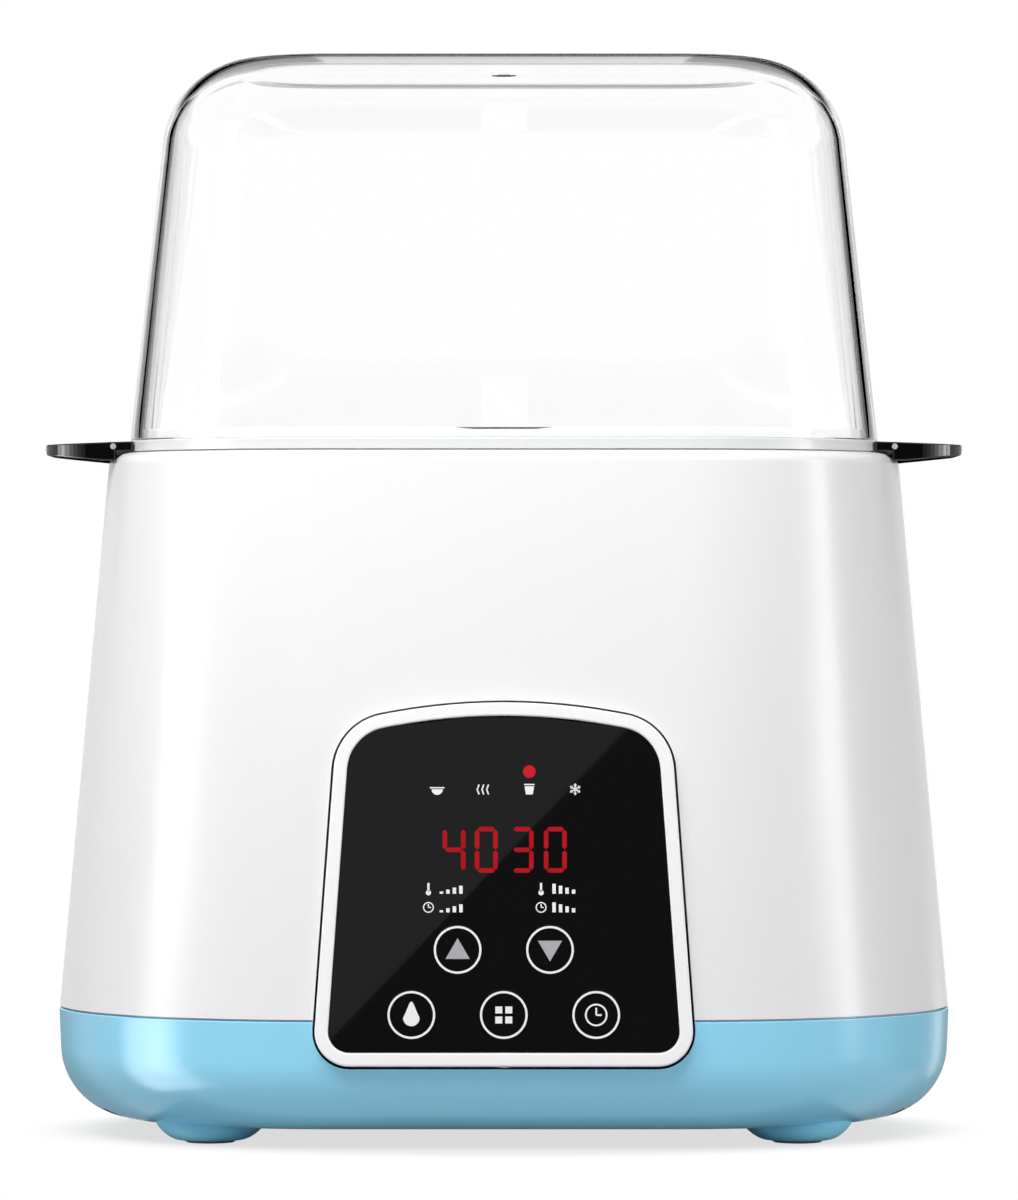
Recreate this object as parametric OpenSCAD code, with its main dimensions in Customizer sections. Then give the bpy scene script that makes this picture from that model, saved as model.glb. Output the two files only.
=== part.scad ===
// Twin steam sterilizer and warmer, in millimetres.
// +Z is up, the control panel faces -Y, and the origin is on the table under the middle of the body.
// Every shell is one wall profile swept round the same plan: a rounded rectangle whose four corner
// centres stay put, so a wall is fully described by its radius from those centres at each height.

/* [Plan] */
// Half the distance between the corner centres, left to right
path_x = 41.5; // [38:0.5:52]
// Half the distance between the corner centres, front to back
path_y = 5.5; // [4:0.5:12]

/* [Heights] */
// How far the rubber pads stand out below the feet
pad_proud = 0.6; // [0.4:0.1:1.2]
// Height of a foot below the base
foot_h = 3.4; // [2.5:0.1:6]
// Height of the blue base from its underside to the seam
base_h = 26; // [24:0.5:32]
// Height of the white housing from the seam to its rim
body_h = 132.4; // [124:0.2:146]
// Thickness of the basket's flange
flange_t = 3; // [2.8:0.1:4]
// Height of the lid above the flange
lid_h = 91.8; // [70:0.2:120]

/* [Housing] */
// Inward lean of the housing's walls in degrees
taper = 5.18; // [3.5:0.01:6.5]
// Wall thickness of the housing and the base
wall = 2.6; // [2:0.1:3.2]
// Rounding of the housing's top outer edge
rim_round = 3; // [2:0.1:4]
// Flat width of the rim between its rounding and the tank
rim_land = 3.1; // [2.6:0.1:5]
// Thickness of the ledge that carries the tank
ledge_t = 2.5; // [2:0.1:4]
// Bevel on the housing's lower edge, which draws the seam
seam_bevel = 0.5; // [0.3:0.1:0.8]

/* [Base] */
// Rounding of the base's lower edge
base_round = 17; // [13:0.5:20]
// Inward lean of the base's wall from the seam down to the underside
base_lean = 1; // [0.5:0.1:2]
// Height of the tongue that centres the housing
tongue_h = 3; // [2:0.5:4]
// Largest radius of a foot
foot_r = 13.8; // [11:0.2:15]
// Radius of a foot's flat end
foot_end_r = 7.5; // [6.5:0.1:9]
// Foot centres, left and right of the middle
foot_x = 69; // [60:0.5:74]
// Foot centres, front and back of the middle
foot_y = 40; // [34:0.5:42]
// Width of a vent slot in the base's floor
vent_w = 3; // [2:0.2:4]
// Length of a vent slot
vent_l = 24; // [16:1:30]

/* [Tank] */
// Depth of the tank from the rim to its floor
tank_depth = 110.4; // [102:0.2:114]
// Wall thickness of the tank
tank_wall = 2; // [1.6:0.1:2.6]
// Outward lean of the tank's walls in degrees
tank_lean = 1.2; // [0.8:0.1:1.8]
// Width of the tank's flange on the housing's ledge
tank_flange = 4; // [3:0.1:5]
// Thickness of the tank's flange
tank_flange_t = 2.5; // [2:0.1:3]
// Clearance between parts that sit in one another
fit = 0.3; // [0.2:0.05:0.4]
// Clearance of a thread or a pin in its hole
snug = 0.1; // [0.05:0.05:0.2]

/* [Basket] */
// Outer radius of the basket's wall
basket_r = 36; // [34:0.5:38]
// Wall thickness of the basket
basket_wall = 1.6; // [1.4:0.1:2.2]
// Water gap between basket and tank
basket_gap = 2; // [1.5:0.1:3]
// Height of the basket's floor above the tank's floor
basket_lift = 4; // [3:0.5:6]
// Width of a steam slot in the basket's wall
slot_w = 4.5; // [3:0.25:6]
// Distance between neighbouring slots in the straight walls
slot_pitch = 14; // [12:0.5:16]
// Width of the basket's lip on the rim
lip_w = 2.5; // [2:0.1:3]
// Thickness of the basket's lip
lip_t = 1.4; // [1:0.1:1.8]
// Width of the grip bar across the middle
grip_w = 12; // [9:0.5:16]
// Diameter of a drain hole in the basket's floor
drain_d = 5; // [3:0.5:6]
// Distance between the rings of drain holes
drain_pitch = 10; // [8:0.5:11]
// Height of the rib that centres the lid
rib_h = 2.4; // [1.6:0.1:3]
// Thickness of the rib that centres the lid
rib_t = 1.2; // [1:0.1:1.6]
// How far the flange stops short of the housing's outer edge
flange_inset = 4; // [3.5:0.1:6]

/* [Ears] */
// Reach of an ear beyond the flange
ear_reach = 19.3; // [15:0.1:24]
// Width of an ear at its root
ear_root_w = 44; // [38:1:52]
// Width of an ear at its tip
ear_tip_w = 30; // [24:1:36]
// Diameter of the pin that holds an ear
ear_pin_d = 1.4; // [1:0.1:1.6]
// How far an ear's root corners reach in along the rim's curve
ear_lap = 4; // [2:0.5:5]

/* [Lid] */
// How far the lid's edge stands in from the flange's edge
lid_inset = 0.8; // [0.6:0.1:2]
// Inward lean of the lid's walls in degrees
lid_lean = 6.3; // [4:0.1:8]
// Wall thickness of the lid at its open edge
lid_wall = 2.6; // [2.2:0.1:3.2]
// Thickness of the lid's top
lid_top_t = 2; // [1.6:0.1:2.6]
// Rounding of the lid's top edge
lid_round = 22; // [16:1:25]
// Diameter of the steam vent in the lid's top
vent_d = 6; // [4:0.5:9]
// Thickness of the finger ridge near the lid's open edge
ridge_t = 0.8; // [0.6:0.1:1.2]
// How far the finger ridge stands out
ridge_proud = 0.5; // [0.3:0.1:0.8]
// Radius of the finger ridge seen from above
ridge_r = 121; // [100:1:140]

/* [Panel] */
// Height of the bezel along the slope
panel_h = 84.1; // [80:0.1:92]
// Width of the bezel across its lower corners
panel_w = 88.4; // [84:0.2:92]
// Width of the bezel across its upper corners
panel_top_w = 77.2; // [74:0.2:84]
// Radius of the bezel's lower corners
panel_low_r = 8; // [6:0.5:10]
// Radius of the bezel's upper corners
panel_high_r = 13.5; // [10:0.5:14.5]
// Radius of the arched top edge
arch_r = 142; // [110:1:150]
// Width of the arched part of the top edge
arch_w = 51.26; // [44:0.02:52]
// How far the bezel reaches below the seam
panel_drop = 10.2; // [8:0.1:11]
// Width of the bezel's frame
frame_w = 3.1; // [2.6:0.1:3.6]
// How far the bezel stands out from the housing
panel_proud = 2.2; // [1.6:0.1:2.6]
// How far the lens lies below the bezel's face
lens_drop = 0.4; // [0.2:0.1:0.8]
// Clearance around the bezel in the housing
panel_gap = 0.25; // [0.2:0.05:0.4]
// Width of the clips that hold the bezel in the housing
clip_w = 8; // [6:0.5:10]

/* [Keys] */
// Diameter of a key
key_d = 11.1; // [9:0.1:11.6]
// Clearance around a key in the lens
key_gap = 0.25; // [0.2:0.05:0.3]
// Distance between neighbouring keys in a row
key_pitch = 21.3; // [18:0.1:22]
// Distance between the two rows of keys
key_rows = 15; // [14.4:0.1:17]
// Height of the lower row above the bezel's lower edge
key_edge = 11.85; // [11.7:0.05:13]
// Travel of a key
key_travel = 0.6; // [0.4:0.05:0.7]

/* [Control board] */
// Distance from the lens's back to the control board
board_gap = 9; // [8.5:0.1:10]
// Thickness of both circuit boards
board_t = 1.6; // [1.2:0.2:1.6]
// Width of the display block
display_w = 33; // [30:0.5:36]
// Height of the display block
display_h = 15; // [13:0.5:16]
// Middle of the display above the middle of the panel
display_v = 8; // [7:0.1:9]
// Distance between neighbouring indicator lamps
lamp_pitch = 10.6; // [9:0.1:11]
// Height of the indicator lamps above the middle of the panel
lamp_v = 26; // [24:0.5:27]
// Diameter of an indicator lamp
lamp_d = 3; // [2:0.2:3.4]
// Width of a key switch
switch_w = 6; // [5:0.5:7]
// Height of a key switch
switch_h = 3.5; // [3:0.1:3.8]
// Thickness of a key switch's floor
switch_floor = 0.5; // [0.4:0.1:0.8]
// Diameter of a key switch's plunger
plunger_d = 3.2; // [2.6:0.1:3.6]

/* [Heater] */
// Diameter of the heating plate
plate_d = 78; // [72:1:80]
// Clearance around the plate's raised middle in the tank's floor
window_gap = 1.2; // [0.8:0.1:2]
// Thickness of the heating plate's edge
plate_t = 3; // [2.5:0.1:4]
// Thickness of the silicone seal
seal_t = 1.5; // [1.2:0.1:2]
// Width of the silicone seal
seal_w = 6.2; // [5:0.1:6.6]
// Gap between the seal and the raised middle of the plate
crown_gap = 0.7; // [0.4:0.1:1]
// Radius of the heating element's ring
element_r = 25; // [22.5:0.5:27]
// Width of the heating element
element_w = 8; // [6:0.2:9]
// Diameter of the heating element's terminals
prong_d = 3; // [2:0.1:4]
// Length of the heating element's terminals
prong_l = 9; // [7:0.5:12]
// Thickness of the clamp ring
clamp_t = 1.5; // [1.2:0.1:2]
// Overlap of the clamp ring on the heating plate
clamp_lap = 4; // [3:0.5:5]
// Diameter of the thermostat
thermostat_d = 16; // [14:0.5:17]
// Height of the thermostat's body
thermostat_h = 6.5; // [5.5:0.5:8]
// Diameter of the thermal fuse
fuse_d = 4; // [3.2:0.1:4.5]
// Length of the thermal fuse's body
fuse_l = 11; // [9:0.5:12]
// Distance of the fuse from the middle of the plate
fuse_y = 15; // [14:0.2:16]
// Diameter of the temperature sensor
sensor_d = 6; // [5:0.2:7]
// Distance of the sensor from the middle of the plate
sensor_y = 15.2; // [14.5:0.1:16]
// Thickness of the strap that holds them
strap_t = 1; // [0.8:0.1:1.4]

/* [Power board] */
// Length of the power board, front to back
power_l = 58; // [50:1:62]
// Width of the power board, left to right
power_w = 46; // [42:1:50]
// Height of the power board above the base's floor
power_lift = 6; // [5:0.5:8]
// Distance of the board's screws from its edges
power_edge = 4; // [3.5:0.1:5]
// Width of the transformer
transformer_w = 24; // [20:0.5:25]
// Length of the transformer
transformer_l = 20; // [17:0.5:21]
// Height of the transformer
transformer_h = 15; // [12:0.5:18]
// Width of the relay
relay_w = 15; // [12:0.5:16]
// Length of the relay
relay_l = 19; // [16:0.5:20]
// Height of the relay
relay_h = 14; // [12:0.5:16]
// Diameter of the capacitor
capacitor_d = 10; // [8:0.5:10.5]
// Height of the capacitor
capacitor_h = 15; // [12:0.5:18]
// Distance between the terminals
block_pitch = 5; // [4:0.1:5.2]
// Width of the terminal block
block_w = 8; // [7:0.5:9]
// Height of the terminal block
block_h = 10; // [9:0.5:12]

/* [Cord gland] */
// Diameter of the hole for the cord
cord_d = 6.6; // [5:0.1:7]
// Diameter of the gland's barrel in the wall
gland_d = 10; // [9:0.1:11]
// Diameter of the gland's collar
collar_d = 13; // [12.4:0.2:15]

/* [Screws] */
// Diameter of the housing screws
screw_d = 3.6; // [3:0.1:4]
// Head diameter of the housing screws
head_d = 7; // [6:0.1:7.6]
// Head height of the housing screws
head_h = 2.4; // [2:0.1:3]
// Length of the housing screws
screw_l = 20; // [14:1:22]
// How far the housing screws stand in from the housing's lower edge
boss_inset = 11.9; // [11:0.1:14]
// Direction of the housing screws from the corner centres in degrees
boss_angle = 20; // [15:1:26]
// Wall of a screw boss around the screw's head
boss_wall = 1.5; // [1.2:0.1:2]
// Height of a boss in the base between the screw's head and the seam
boss_floor = 8; // [6:0.5:10]
// Height of a boss in the housing
boss_h = 18; // [14:0.5:20]
// Thickness of the rib between a boss and the housing's wall
boss_rib = 2.4; // [1.6:0.1:3]
// Diameter of the small screws
small_d = 2.6; // [2.2:0.1:2.8]
// Head diameter of the small screws
small_head_d = 5; // [4.4:0.1:5.4]
// Head height of the small screws
small_head_h = 1.6; // [1.2:0.1:2]
// How far the small screws reach into what they hold
small_bite = 4; // [3:0.5:5]

/* [Hidden] */
$fn = 64;
arc_step = 7.5;

base_z = pad_proud + foot_h;
seam_z = base_z + base_h;
rim_z = seam_z + body_h;
flange_z = rim_z + flange_t;
top_z = flange_z + lid_h;
lean = tan(taper);

ledge_z = rim_z - tank_flange_t;
tank_floor_z = rim_z - tank_depth;
tank_low_r = basket_r + basket_gap;
tank_top_r = tank_low_r + tank_depth * tan(tank_lean);
opening_r = tank_top_r + tank_wall + fit;
rebate_r = opening_r + tank_flange + fit;
body_top_r = rebate_r + rim_land + rim_round;
body_low_r = body_top_r + body_h * lean;
base_r = body_low_r + 0.1;
flange_r = body_top_r - flange_inset;
lid_r = flange_r - lid_inset;
ridge_z = flange_z + 1.9;
rib_r = lid_r - lid_wall - fit;

base_floor_z = base_z + wall;
tongue_r = body_low_r - wall - tongue_h * lean - fit;
boss_r = body_low_r - boss_inset;
boss_d = head_d + 2 * boss_wall;
head_z = seam_z - boss_floor;

basket_floor_z = tank_floor_z + basket_lift;
basket_floor_t = 2;
slot_low = basket_floor_z + 12;
slot_high = rim_z - 16;
lip_r = basket_r + lip_w;
lip_z = flange_z - lip_t;
divider_t = 2;
divider_h = 18;

panel_z = seam_z - panel_drop + cos(taper) * panel_h / 2;
panel_y = -path_y - body_low_r + (panel_z - seam_z) * lean;
lens_face = panel_proud - lens_drop;
skirt_back = -7;
post_d = small_head_d;
post_rib = post_d / 2 + 2.1;
board_n = -board_gap;
board_back = board_n - board_t;
key_low_v = key_edge - panel_h / 2;
key_high_v = key_low_v + key_rows;
plunger_n = board_n + switch_h + key_travel + 0.1;
stalk_r = plunger_d / 2 + 0.6;

plate_z = tank_floor_z - tank_wall - seal_t - plate_t;
seal_r = plate_d / 2 - fit;
crown_r = seal_r - seal_w - crown_gap;
crown_drop = 0.4;
plate_window = 2 * (crown_r + window_gap);
clamp_r = plate_d / 2 + small_head_d / 2 + 2;
clamp_hole_r = plate_d / 2 - clamp_lap;
lug_d = small_head_d + 4;

cap_d = thermostat_d - 4;
cap_h = 3.5;
blade_t = 0.8;
blade_w = 6;
blade_l = 7;
strap_drop = thermostat_h + 0.5;
strap_w = 14;
sensor_head = 4;
stem_d = 3.6;

ear_x = path_x + flange_r;
ear_tip = ear_x + ear_reach;
hook_x = path_x + body_top_r + 0.5;
ear_low = rim_z + fit;
ear_high = flange_z - 0.2;
ear_mid = (ear_low + ear_high) / 2;
tab_w = ear_root_w - 16;
pin_x = (ear_x + hook_x) / 2 + 0.2;

power_x = path_x - 5.5;
power_z = base_floor_z + power_lift;
bobbin_t = 2;
gland_z = base_z + 13;
gland_y = path_y + base_r - 4.5;

KEYS = [
    ["up", -key_pitch / 2, key_high_v],
    ["down", key_pitch / 2, key_high_v],
    ["warm", -key_pitch, key_low_v],
    ["function", 0, key_low_v],
    ["timer", key_pitch, key_low_v]
];

// Outlines: each point is [x, y, corner radius], and every arc is worked out from its corner

function xy(p) = [p[0], p[1]];
function unit(v) = v / norm(v);

function corner_arc(pts, i) =
    let (n = len(pts), p = xy(pts[i]), r = pts[i][2],
         a = unit(xy(pts[(i + n - 1) % n]) - p), b = unit(xy(pts[(i + 1) % n]) - p),
         half = acos(a * b) / 2, c = p + unit(a + b) * r / sin(half),
         start = p + a * r / tan(half) - c, stop = p + b * r / tan(half) - c,
         a0 = atan2(start[1], start[0]), raw = atan2(stop[1], stop[0]) - a0,
         turn = raw > 180 ? raw - 360 : raw < -180 ? raw + 360 : raw,
         steps = max(2, ceil(abs(turn) / arc_step)))
    [for (k = [0 : steps]) c + r * [cos(a0 + turn * k / steps), sin(a0 + turn * k / steps)]];

function rounded(pts) = [for (i = [0 : len(pts) - 1]) each pts[i][2] > 0 ? corner_arc(pts, i) : [xy(pts[i])]];

// An outline moved inward by d, for points listed counter-clockwise
function inset(pts, d) = [for (i = [0 : len(pts) - 1])
    let (n = len(pts), p = xy(pts[i]),
         a = unit(p - xy(pts[(i + n - 1) % n])), b = unit(xy(pts[(i + 1) % n]) - p),
         na = [-a[1], a[0]], nb = [-b[1], b[0]], q = p + d * (na + nb) / (1 + na * nb))
    [q[0], q[1], max(pts[i][2] - d, 0.3)]];

// The shared plan

module around() {
    for (s = [0, 1]) rotate([0, 0, 180 * s]) {
        translate([path_x, path_y, 0]) rotate_extrude(angle = 90) children();
        translate([-path_x, path_y, 0]) rotate([0, 0, 90]) rotate_extrude(angle = 90) children();
        translate([path_x, path_y, 0]) rotate([90, 0, 0]) linear_extrude(2 * path_y) children();
        rotate([0, 0, 90]) translate([path_y, path_x, 0]) rotate([90, 0, 0]) linear_extrude(2 * path_x)
            children();
    }
}

module middle(z0, z1) translate([-path_x, -path_y, z0]) cube([2 * path_x, 2 * path_y, z1 - z0]);

module four(x, y) for (sx = [-1, 1], sy = [-1, 1]) translate([sx * x, sy * y, 0]) children();

module at_power_screws() for (x = [power_edge, power_w - power_edge], y = [power_edge, power_l - power_edge])
    translate([x, y, 0]) children();

module stadium(w, l) {
    square([w, l - w], center = true);
    for (s = [-1, 1]) translate([0, s * (l - w) / 2]) circle(d = w);
}

// The sloping front

module on_panel() translate([0, panel_y, panel_z]) rotate([90 - taper, 0, 0]) children();

module panel_plate(d, n0, n1) translate([0, 0, n0]) linear_extrude(n1 - n0)
    polygon(rounded(inset(panel(), d)));

function panel() = let (low = panel_w / 2, high = panel_top_w / 2, slope = asin(arch_w / 2 / arch_r),
        peak = arch_r * (1 / cos(slope) - 1), v = panel_h / 2 + peak - high * tan(slope))
    [[-low, -panel_h / 2, panel_low_r], [low, -panel_h / 2, panel_low_r], [high, v, panel_high_r],
     [0, panel_h / 2 + peak, arch_r], [-high, v, panel_high_r]];

function side_u(v) = let (p = panel(), t = (v - p[1][1]) / (p[2][1] - p[1][1]))
    p[1][0] + t * (p[2][0] - p[1][0]);

POSTS = [for (v = [key_low_v + 5, display_v + 8], s = [-1, 1])
    [s * (side_u(v) - frame_w - post_d / 2 - 0.9), v]];

// Housing and base

function body_r(z) = body_low_r - (z - seam_z) * lean;

function base_outline(d) = [[0, base_z + d, 0], [base_r - base_lean - d, base_z + d, base_round - d],
    [base_r - d, seam_z, 0], [0, seam_z, 0]];

module base_envelope(d) {
    around() polygon(rounded(base_outline(d)));
    middle(base_z + d, seam_z);
}

module boss_at() four(path_x + boss_r * cos(boss_angle), path_y + boss_r * sin(boss_angle)) children();

module foot() rotate_extrude() polygon(rounded([[0, pad_proud, 0], [foot_end_r, pad_proud, 0.8],
    [foot_r - 0.4, base_z - 0.6, 1], [foot_r, base_z + 1, 0], [foot_r, base_floor_z + 6, 0],
    [0, base_floor_z + 6, 0]]));

module base_wall() difference() {
    union() {
        around() polygon(rounded([[0, base_z, 0], [base_r - base_lean, base_z, base_round],
            [base_r, seam_z, 0.3], [tongue_r, seam_z, 0], [tongue_r, seam_z + tongue_h, 0],
            [tongue_r - 2, seam_z + tongue_h, 0], [tongue_r - 2, seam_z - 3, 0],
            [base_r - wall - 0.3, seam_z - 5.5, 0],
            [base_r - base_lean - wall, base_floor_z, base_round - wall], [0, base_floor_z, 0]]));
        middle(base_z, base_floor_z);
    }
    on_panel() panel_plate(-panel_gap, -14, 12);
}

module base_shell() color("#8cc8ea") difference() {
    union() {
        base_wall();
        intersection() {
            base_envelope(0.8);
            union() {
                boss_at() translate([0, 0, base_z]) cylinder(d = boss_d, h = seam_z - base_z);
                translate([-9, path_y + base_r - 16, base_z]) cube([18, 16, 22]);
            }
        }
        four(foot_x, foot_y) difference() {
            foot();
            translate([0, 0, base_z + wall]) cylinder(r = foot_r + 1, h = 20);
        }
        translate([-power_x - power_w, -power_l / 2, 0]) at_power_screws()
            translate([0, 0, base_z + wall / 2]) cylinder(d = small_head_d + 1, h = power_lift + wall / 2);
    }
    boss_at() translate([0, 0, base_z - 1]) {
        cylinder(d = head_d + 2 * fit, h = head_z - base_z + 1);
        cylinder(d = screw_d + 2 * fit, h = 60);
    }
    four(foot_x, foot_y) cylinder(r = foot_end_r - 1.5, h = base_z - 2);
    translate([-power_x - power_w, -power_l / 2, 0]) at_power_screws()
        translate([0, 0, base_floor_z]) cylinder(d = small_d + snug, h = 20);
    for (i = [-4 : 4]) translate([i * vent_w * 2.4, 0, base_z - 1]) linear_extrude(wall + 2)
        stadium(vent_w, vent_l);
    translate([0, gland_y, gland_z]) rotate([-90, 0, 0]) {
        cylinder(d = collar_d + 2 * fit, h = 20);
        translate([0, 0, -20]) cylinder(d = gland_d + snug, h = 21);
    }
}

module foot_pads() color("#5a6670") four(foot_x, foot_y) rotate_extrude() polygon(rounded([[0, 0, 0],
    [foot_end_r - 1.7, 0, 0.3], [foot_end_r - 1.7, base_z - 2, 0], [0, base_z - 2, 0]]));

module screw(d, head, high, length) rotate_extrude() polygon(rounded([[0, -high, 0],
    [head / 2, -high, high / 6], [head / 2, 0, 0], [d / 2, 0, 0], [d / 2, length, 0], [0, length, 0]]));

module cross_screw(d, head, high, length) difference() {
    screw(d, head, high, length);
    translate([0, 0, -high]) for (a = [0, 90]) rotate([0, 0, a])
        cube([head * 0.6, head * 0.14, high], center = true);
}

module housing_screws() color("#b9bec4") boss_at() translate([0, 0, head_z])
    cross_screw(screw_d, head_d, head_h, screw_l);

module outer_housing() color("#f4f4f2") difference() {
    union() {
        around() polygon(rounded([[body_low_r - seam_bevel, seam_z, 0],
            [body_low_r - seam_bevel * lean, seam_z + seam_bevel, 0], [body_top_r, rim_z, rim_round],
            [rebate_r, rim_z, 0], [rebate_r, ledge_z, 0], [opening_r, ledge_z, 0],
            [opening_r, ledge_z - ledge_t, 0],
            [body_r(ledge_z - ledge_t) - wall, ledge_z - ledge_t, 0], [body_low_r - wall, seam_z, 0]]));
        boss_at() translate([0, 0, seam_z]) cylinder(d = boss_d, h = boss_h);
        intersection() {
            around() polygon([[0, seam_z], [body_low_r - 1, seam_z],
                [body_r(seam_z + boss_h) - 1, seam_z + boss_h], [0, seam_z + boss_h]]);
            for (sx = [-1, 1], sy = [-1, 1])
                translate([sx * path_x, sy * path_y, seam_z + tongue_h + 1])
                    rotate([0, 0, atan2(sy * sin(boss_angle), sx * cos(boss_angle))])
                        translate([boss_r, -boss_rib / 2, 0])
                            cube([boss_inset, boss_rib, boss_h - tongue_h - 1]);
        }
    }
    on_panel() panel_plate(-panel_gap, -14, 12);
    boss_at() translate([0, 0, seam_z - 1]) cylinder(d = screw_d + snug, h = screw_l - boss_floor + 2);
}

module cord_gland() color("#e8ecef") translate([0, gland_y, gland_z]) rotate([-90, 0, 0]) rotate_extrude()
    polygon(rounded([[cord_d / 2, -13, 0], [gland_d / 2, -13, 0.5], [gland_d / 2, 0, 0], [collar_d / 2, 0, 0],
        [collar_d / 2, 3, 1], [cord_d / 2 + 2.2, 5.5, 0.6], [cord_d / 2, 5.5, 0.4]]));

// Tank and heater

module water_tank() color("#e9ecec") difference() {
    union() {
        around() polygon(rounded([[0, tank_floor_z - tank_wall, 0],
            [tank_low_r + tank_wall, tank_floor_z - tank_wall, 8],
            [tank_top_r + tank_wall - tank_flange_t * tan(tank_lean), ledge_z, 0],
            [rebate_r - fit, ledge_z, 0], [rebate_r - fit, rim_z, 0],
            [tank_top_r, rim_z, 1], [tank_low_r, tank_floor_z, 6], [0, tank_floor_z, 0]]));
        middle(tank_floor_z - tank_wall, tank_floor_z);
        for (a = [45 : 90 : 315]) rotate([0, 0, a]) translate([clamp_r, 0, plate_z])
            cylinder(d = small_head_d + 2, h = tank_floor_z - plate_z - 0.5);
    }
    translate([0, 0, tank_floor_z - 20]) cylinder(d = plate_window, h = 40);
    translate([0, 0, plate_z - 1]) cylinder(d = plate_d + 2 * fit, h = plate_t + seal_t + 1);
    for (a = [45 : 90 : 315]) rotate([0, 0, a]) translate([clamp_r, 0, plate_z - 1])
        cylinder(d = small_d + snug, h = small_bite + 1.5);
}

module heating_plate() color("#c9ccce") rotate_extrude() polygon(rounded([[0, plate_z, 0],
    [plate_d / 2, plate_z, 0.5], [plate_d / 2, plate_z + plate_t, 0.5],
    [crown_r, plate_z + plate_t, 0], [crown_r, tank_floor_z - crown_drop, 1],
    [0, tank_floor_z - crown_drop, 0]]));

module plate_seal() color("#d98a6a") translate([0, 0, plate_z + plate_t]) difference() {
    cylinder(r = seal_r, h = seal_t);
    translate([0, 0, -1]) cylinder(r = seal_r - seal_w, h = seal_t + 2);
}

module heating_element() color("#8f9498") translate([0, 0, plate_z]) {
    rotate([0, 0, 120]) rotate_extrude(angle = 300) polygon(rounded([
        [element_r - element_w / 2, -element_w, element_w * 0.45],
        [element_r + element_w / 2, -element_w, element_w * 0.45],
        [element_r + element_w / 2, 0, 0], [element_r - element_w / 2, 0, 0]]));
    for (a = [124, 56]) rotate([0, 0, a]) translate([element_r, 0, -element_w - prong_l])
        cylinder(d = prong_d, h = prong_l + 1);
}

module clamp_ring() color("#a9aeb2") translate([0, 0, plate_z - clamp_t]) difference() {
    union() {
        cylinder(r = plate_d / 2 + 1, h = clamp_t);
        for (a = [45 : 90 : 315]) rotate([0, 0, a]) {
            translate([clamp_r, 0, 0]) cylinder(d = lug_d, h = clamp_t);
            translate([clamp_hole_r, -lug_d / 2, 0]) cube([clamp_r - clamp_hole_r, lug_d, clamp_t]);
        }
    }
    translate([0, 0, -1]) cylinder(r = clamp_hole_r, h = clamp_t + 2);
    for (a = [45 : 90 : 315]) rotate([0, 0, a]) translate([clamp_r, 0, -1])
        cylinder(d = small_d + fit, h = clamp_t + 2);
}

module clamp_screws() color("#b9bec4") for (a = [45 : 90 : 315]) rotate([0, 0, a])
    translate([clamp_r, 0, plate_z - clamp_t])
        cross_screw(small_d, small_head_d, small_head_h, clamp_t + small_bite);

module thermostat() color("#2d2f31") translate([0, 0, plate_z]) {
    translate([0, 0, -thermostat_h]) cylinder(d = thermostat_d, h = thermostat_h);
    translate([0, 0, -thermostat_h - cap_h]) cylinder(d = cap_d, h = cap_h + 0.5);
    for (s = [-1, 1]) translate([s * cap_d / 3 - blade_t / 2, -blade_w / 2, -thermostat_h - cap_h - blade_l])
        cube([blade_t, blade_w, blade_l + 1]);
}

module thermal_fuse() color("#d8d2c0") translate([0, -fuse_y, plate_z - fuse_d / 2]) rotate([0, 90, 0]) {
    cylinder(d = fuse_d, h = fuse_l, center = true);
    cylinder(d = fuse_d / 4, h = fuse_l + 2 * fuse_d, center = true);
}

module temperature_sensor() color("#c2c6c9") translate([0, sensor_y, plate_z]) {
    translate([0, 0, -sensor_head]) cylinder(d = sensor_d, h = sensor_head);
    translate([0, 0, -strap_drop - 2]) cylinder(d = stem_d, h = strap_drop);
}

// A sprung strap under the plate: it carries the fuse and the sensor and is pinched by the thermostat's step
module sensor_holder() color("#b4b9bd") translate([0, 0, plate_z]) difference() {
    union() {
        translate([-strap_w / 2, -fuse_y - 4, -strap_drop - strap_t])
            cube([strap_w, fuse_y + sensor_y + 8.8, strap_t]);
        translate([-fuse_l / 2 + 0.5, -fuse_y - 3, -strap_drop - strap_t])
            cube([fuse_l - 1, 6, strap_drop + strap_t - fuse_d]);
    }
    translate([0, 0, -strap_drop - strap_t - 1]) cylinder(d = cap_d + fit, h = 20);
    translate([0, sensor_y, -strap_drop - strap_t - 1]) cylinder(d = stem_d + fit, h = 20);
    translate([0, 0, -strap_drop]) cylinder(d = thermostat_d + fit, h = 20);
}

// Panel

module panel_bezel() color("#f2f2f0") on_panel() {
    difference() {
        panel_plate(0, skirt_back, panel_proud);
        panel_plate(frame_w, skirt_back - 1, panel_proud + 1);
    }
    difference() {
        panel_plate(frame_w / 2, -1.5, 0);
        panel_plate(frame_w + 1.4, -2, 1);
    }
    for (p = POSTS) translate([p[0], p[1], board_n]) difference() {
        union() {
            cylinder(d = post_d, h = board_gap - fit);
            translate([p[0] > 0 ? 0 : -post_rib, -1, board_gap + skirt_back + 0.2])
                cube([post_rib, 2, -skirt_back - 0.6]);
        }
        translate([0, 0, -1]) cylinder(d = small_d + snug, h = small_bite + 2);
    }
    for (s = [-1, 1], v = [-6, 16]) translate([s * side_u(v), v, -wall - 1.6])
        cube([1.6, clip_w, 1.2], center = true);
}

module panel_lens() color("#1b1c1e") on_panel() difference() {
    panel_plate(frame_w + 0.15, 0, lens_face);
    for (k = KEYS) translate([k[1], k[2], -1]) cylinder(d = key_d + 2 * key_gap, h = lens_face + 2);
}

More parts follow.
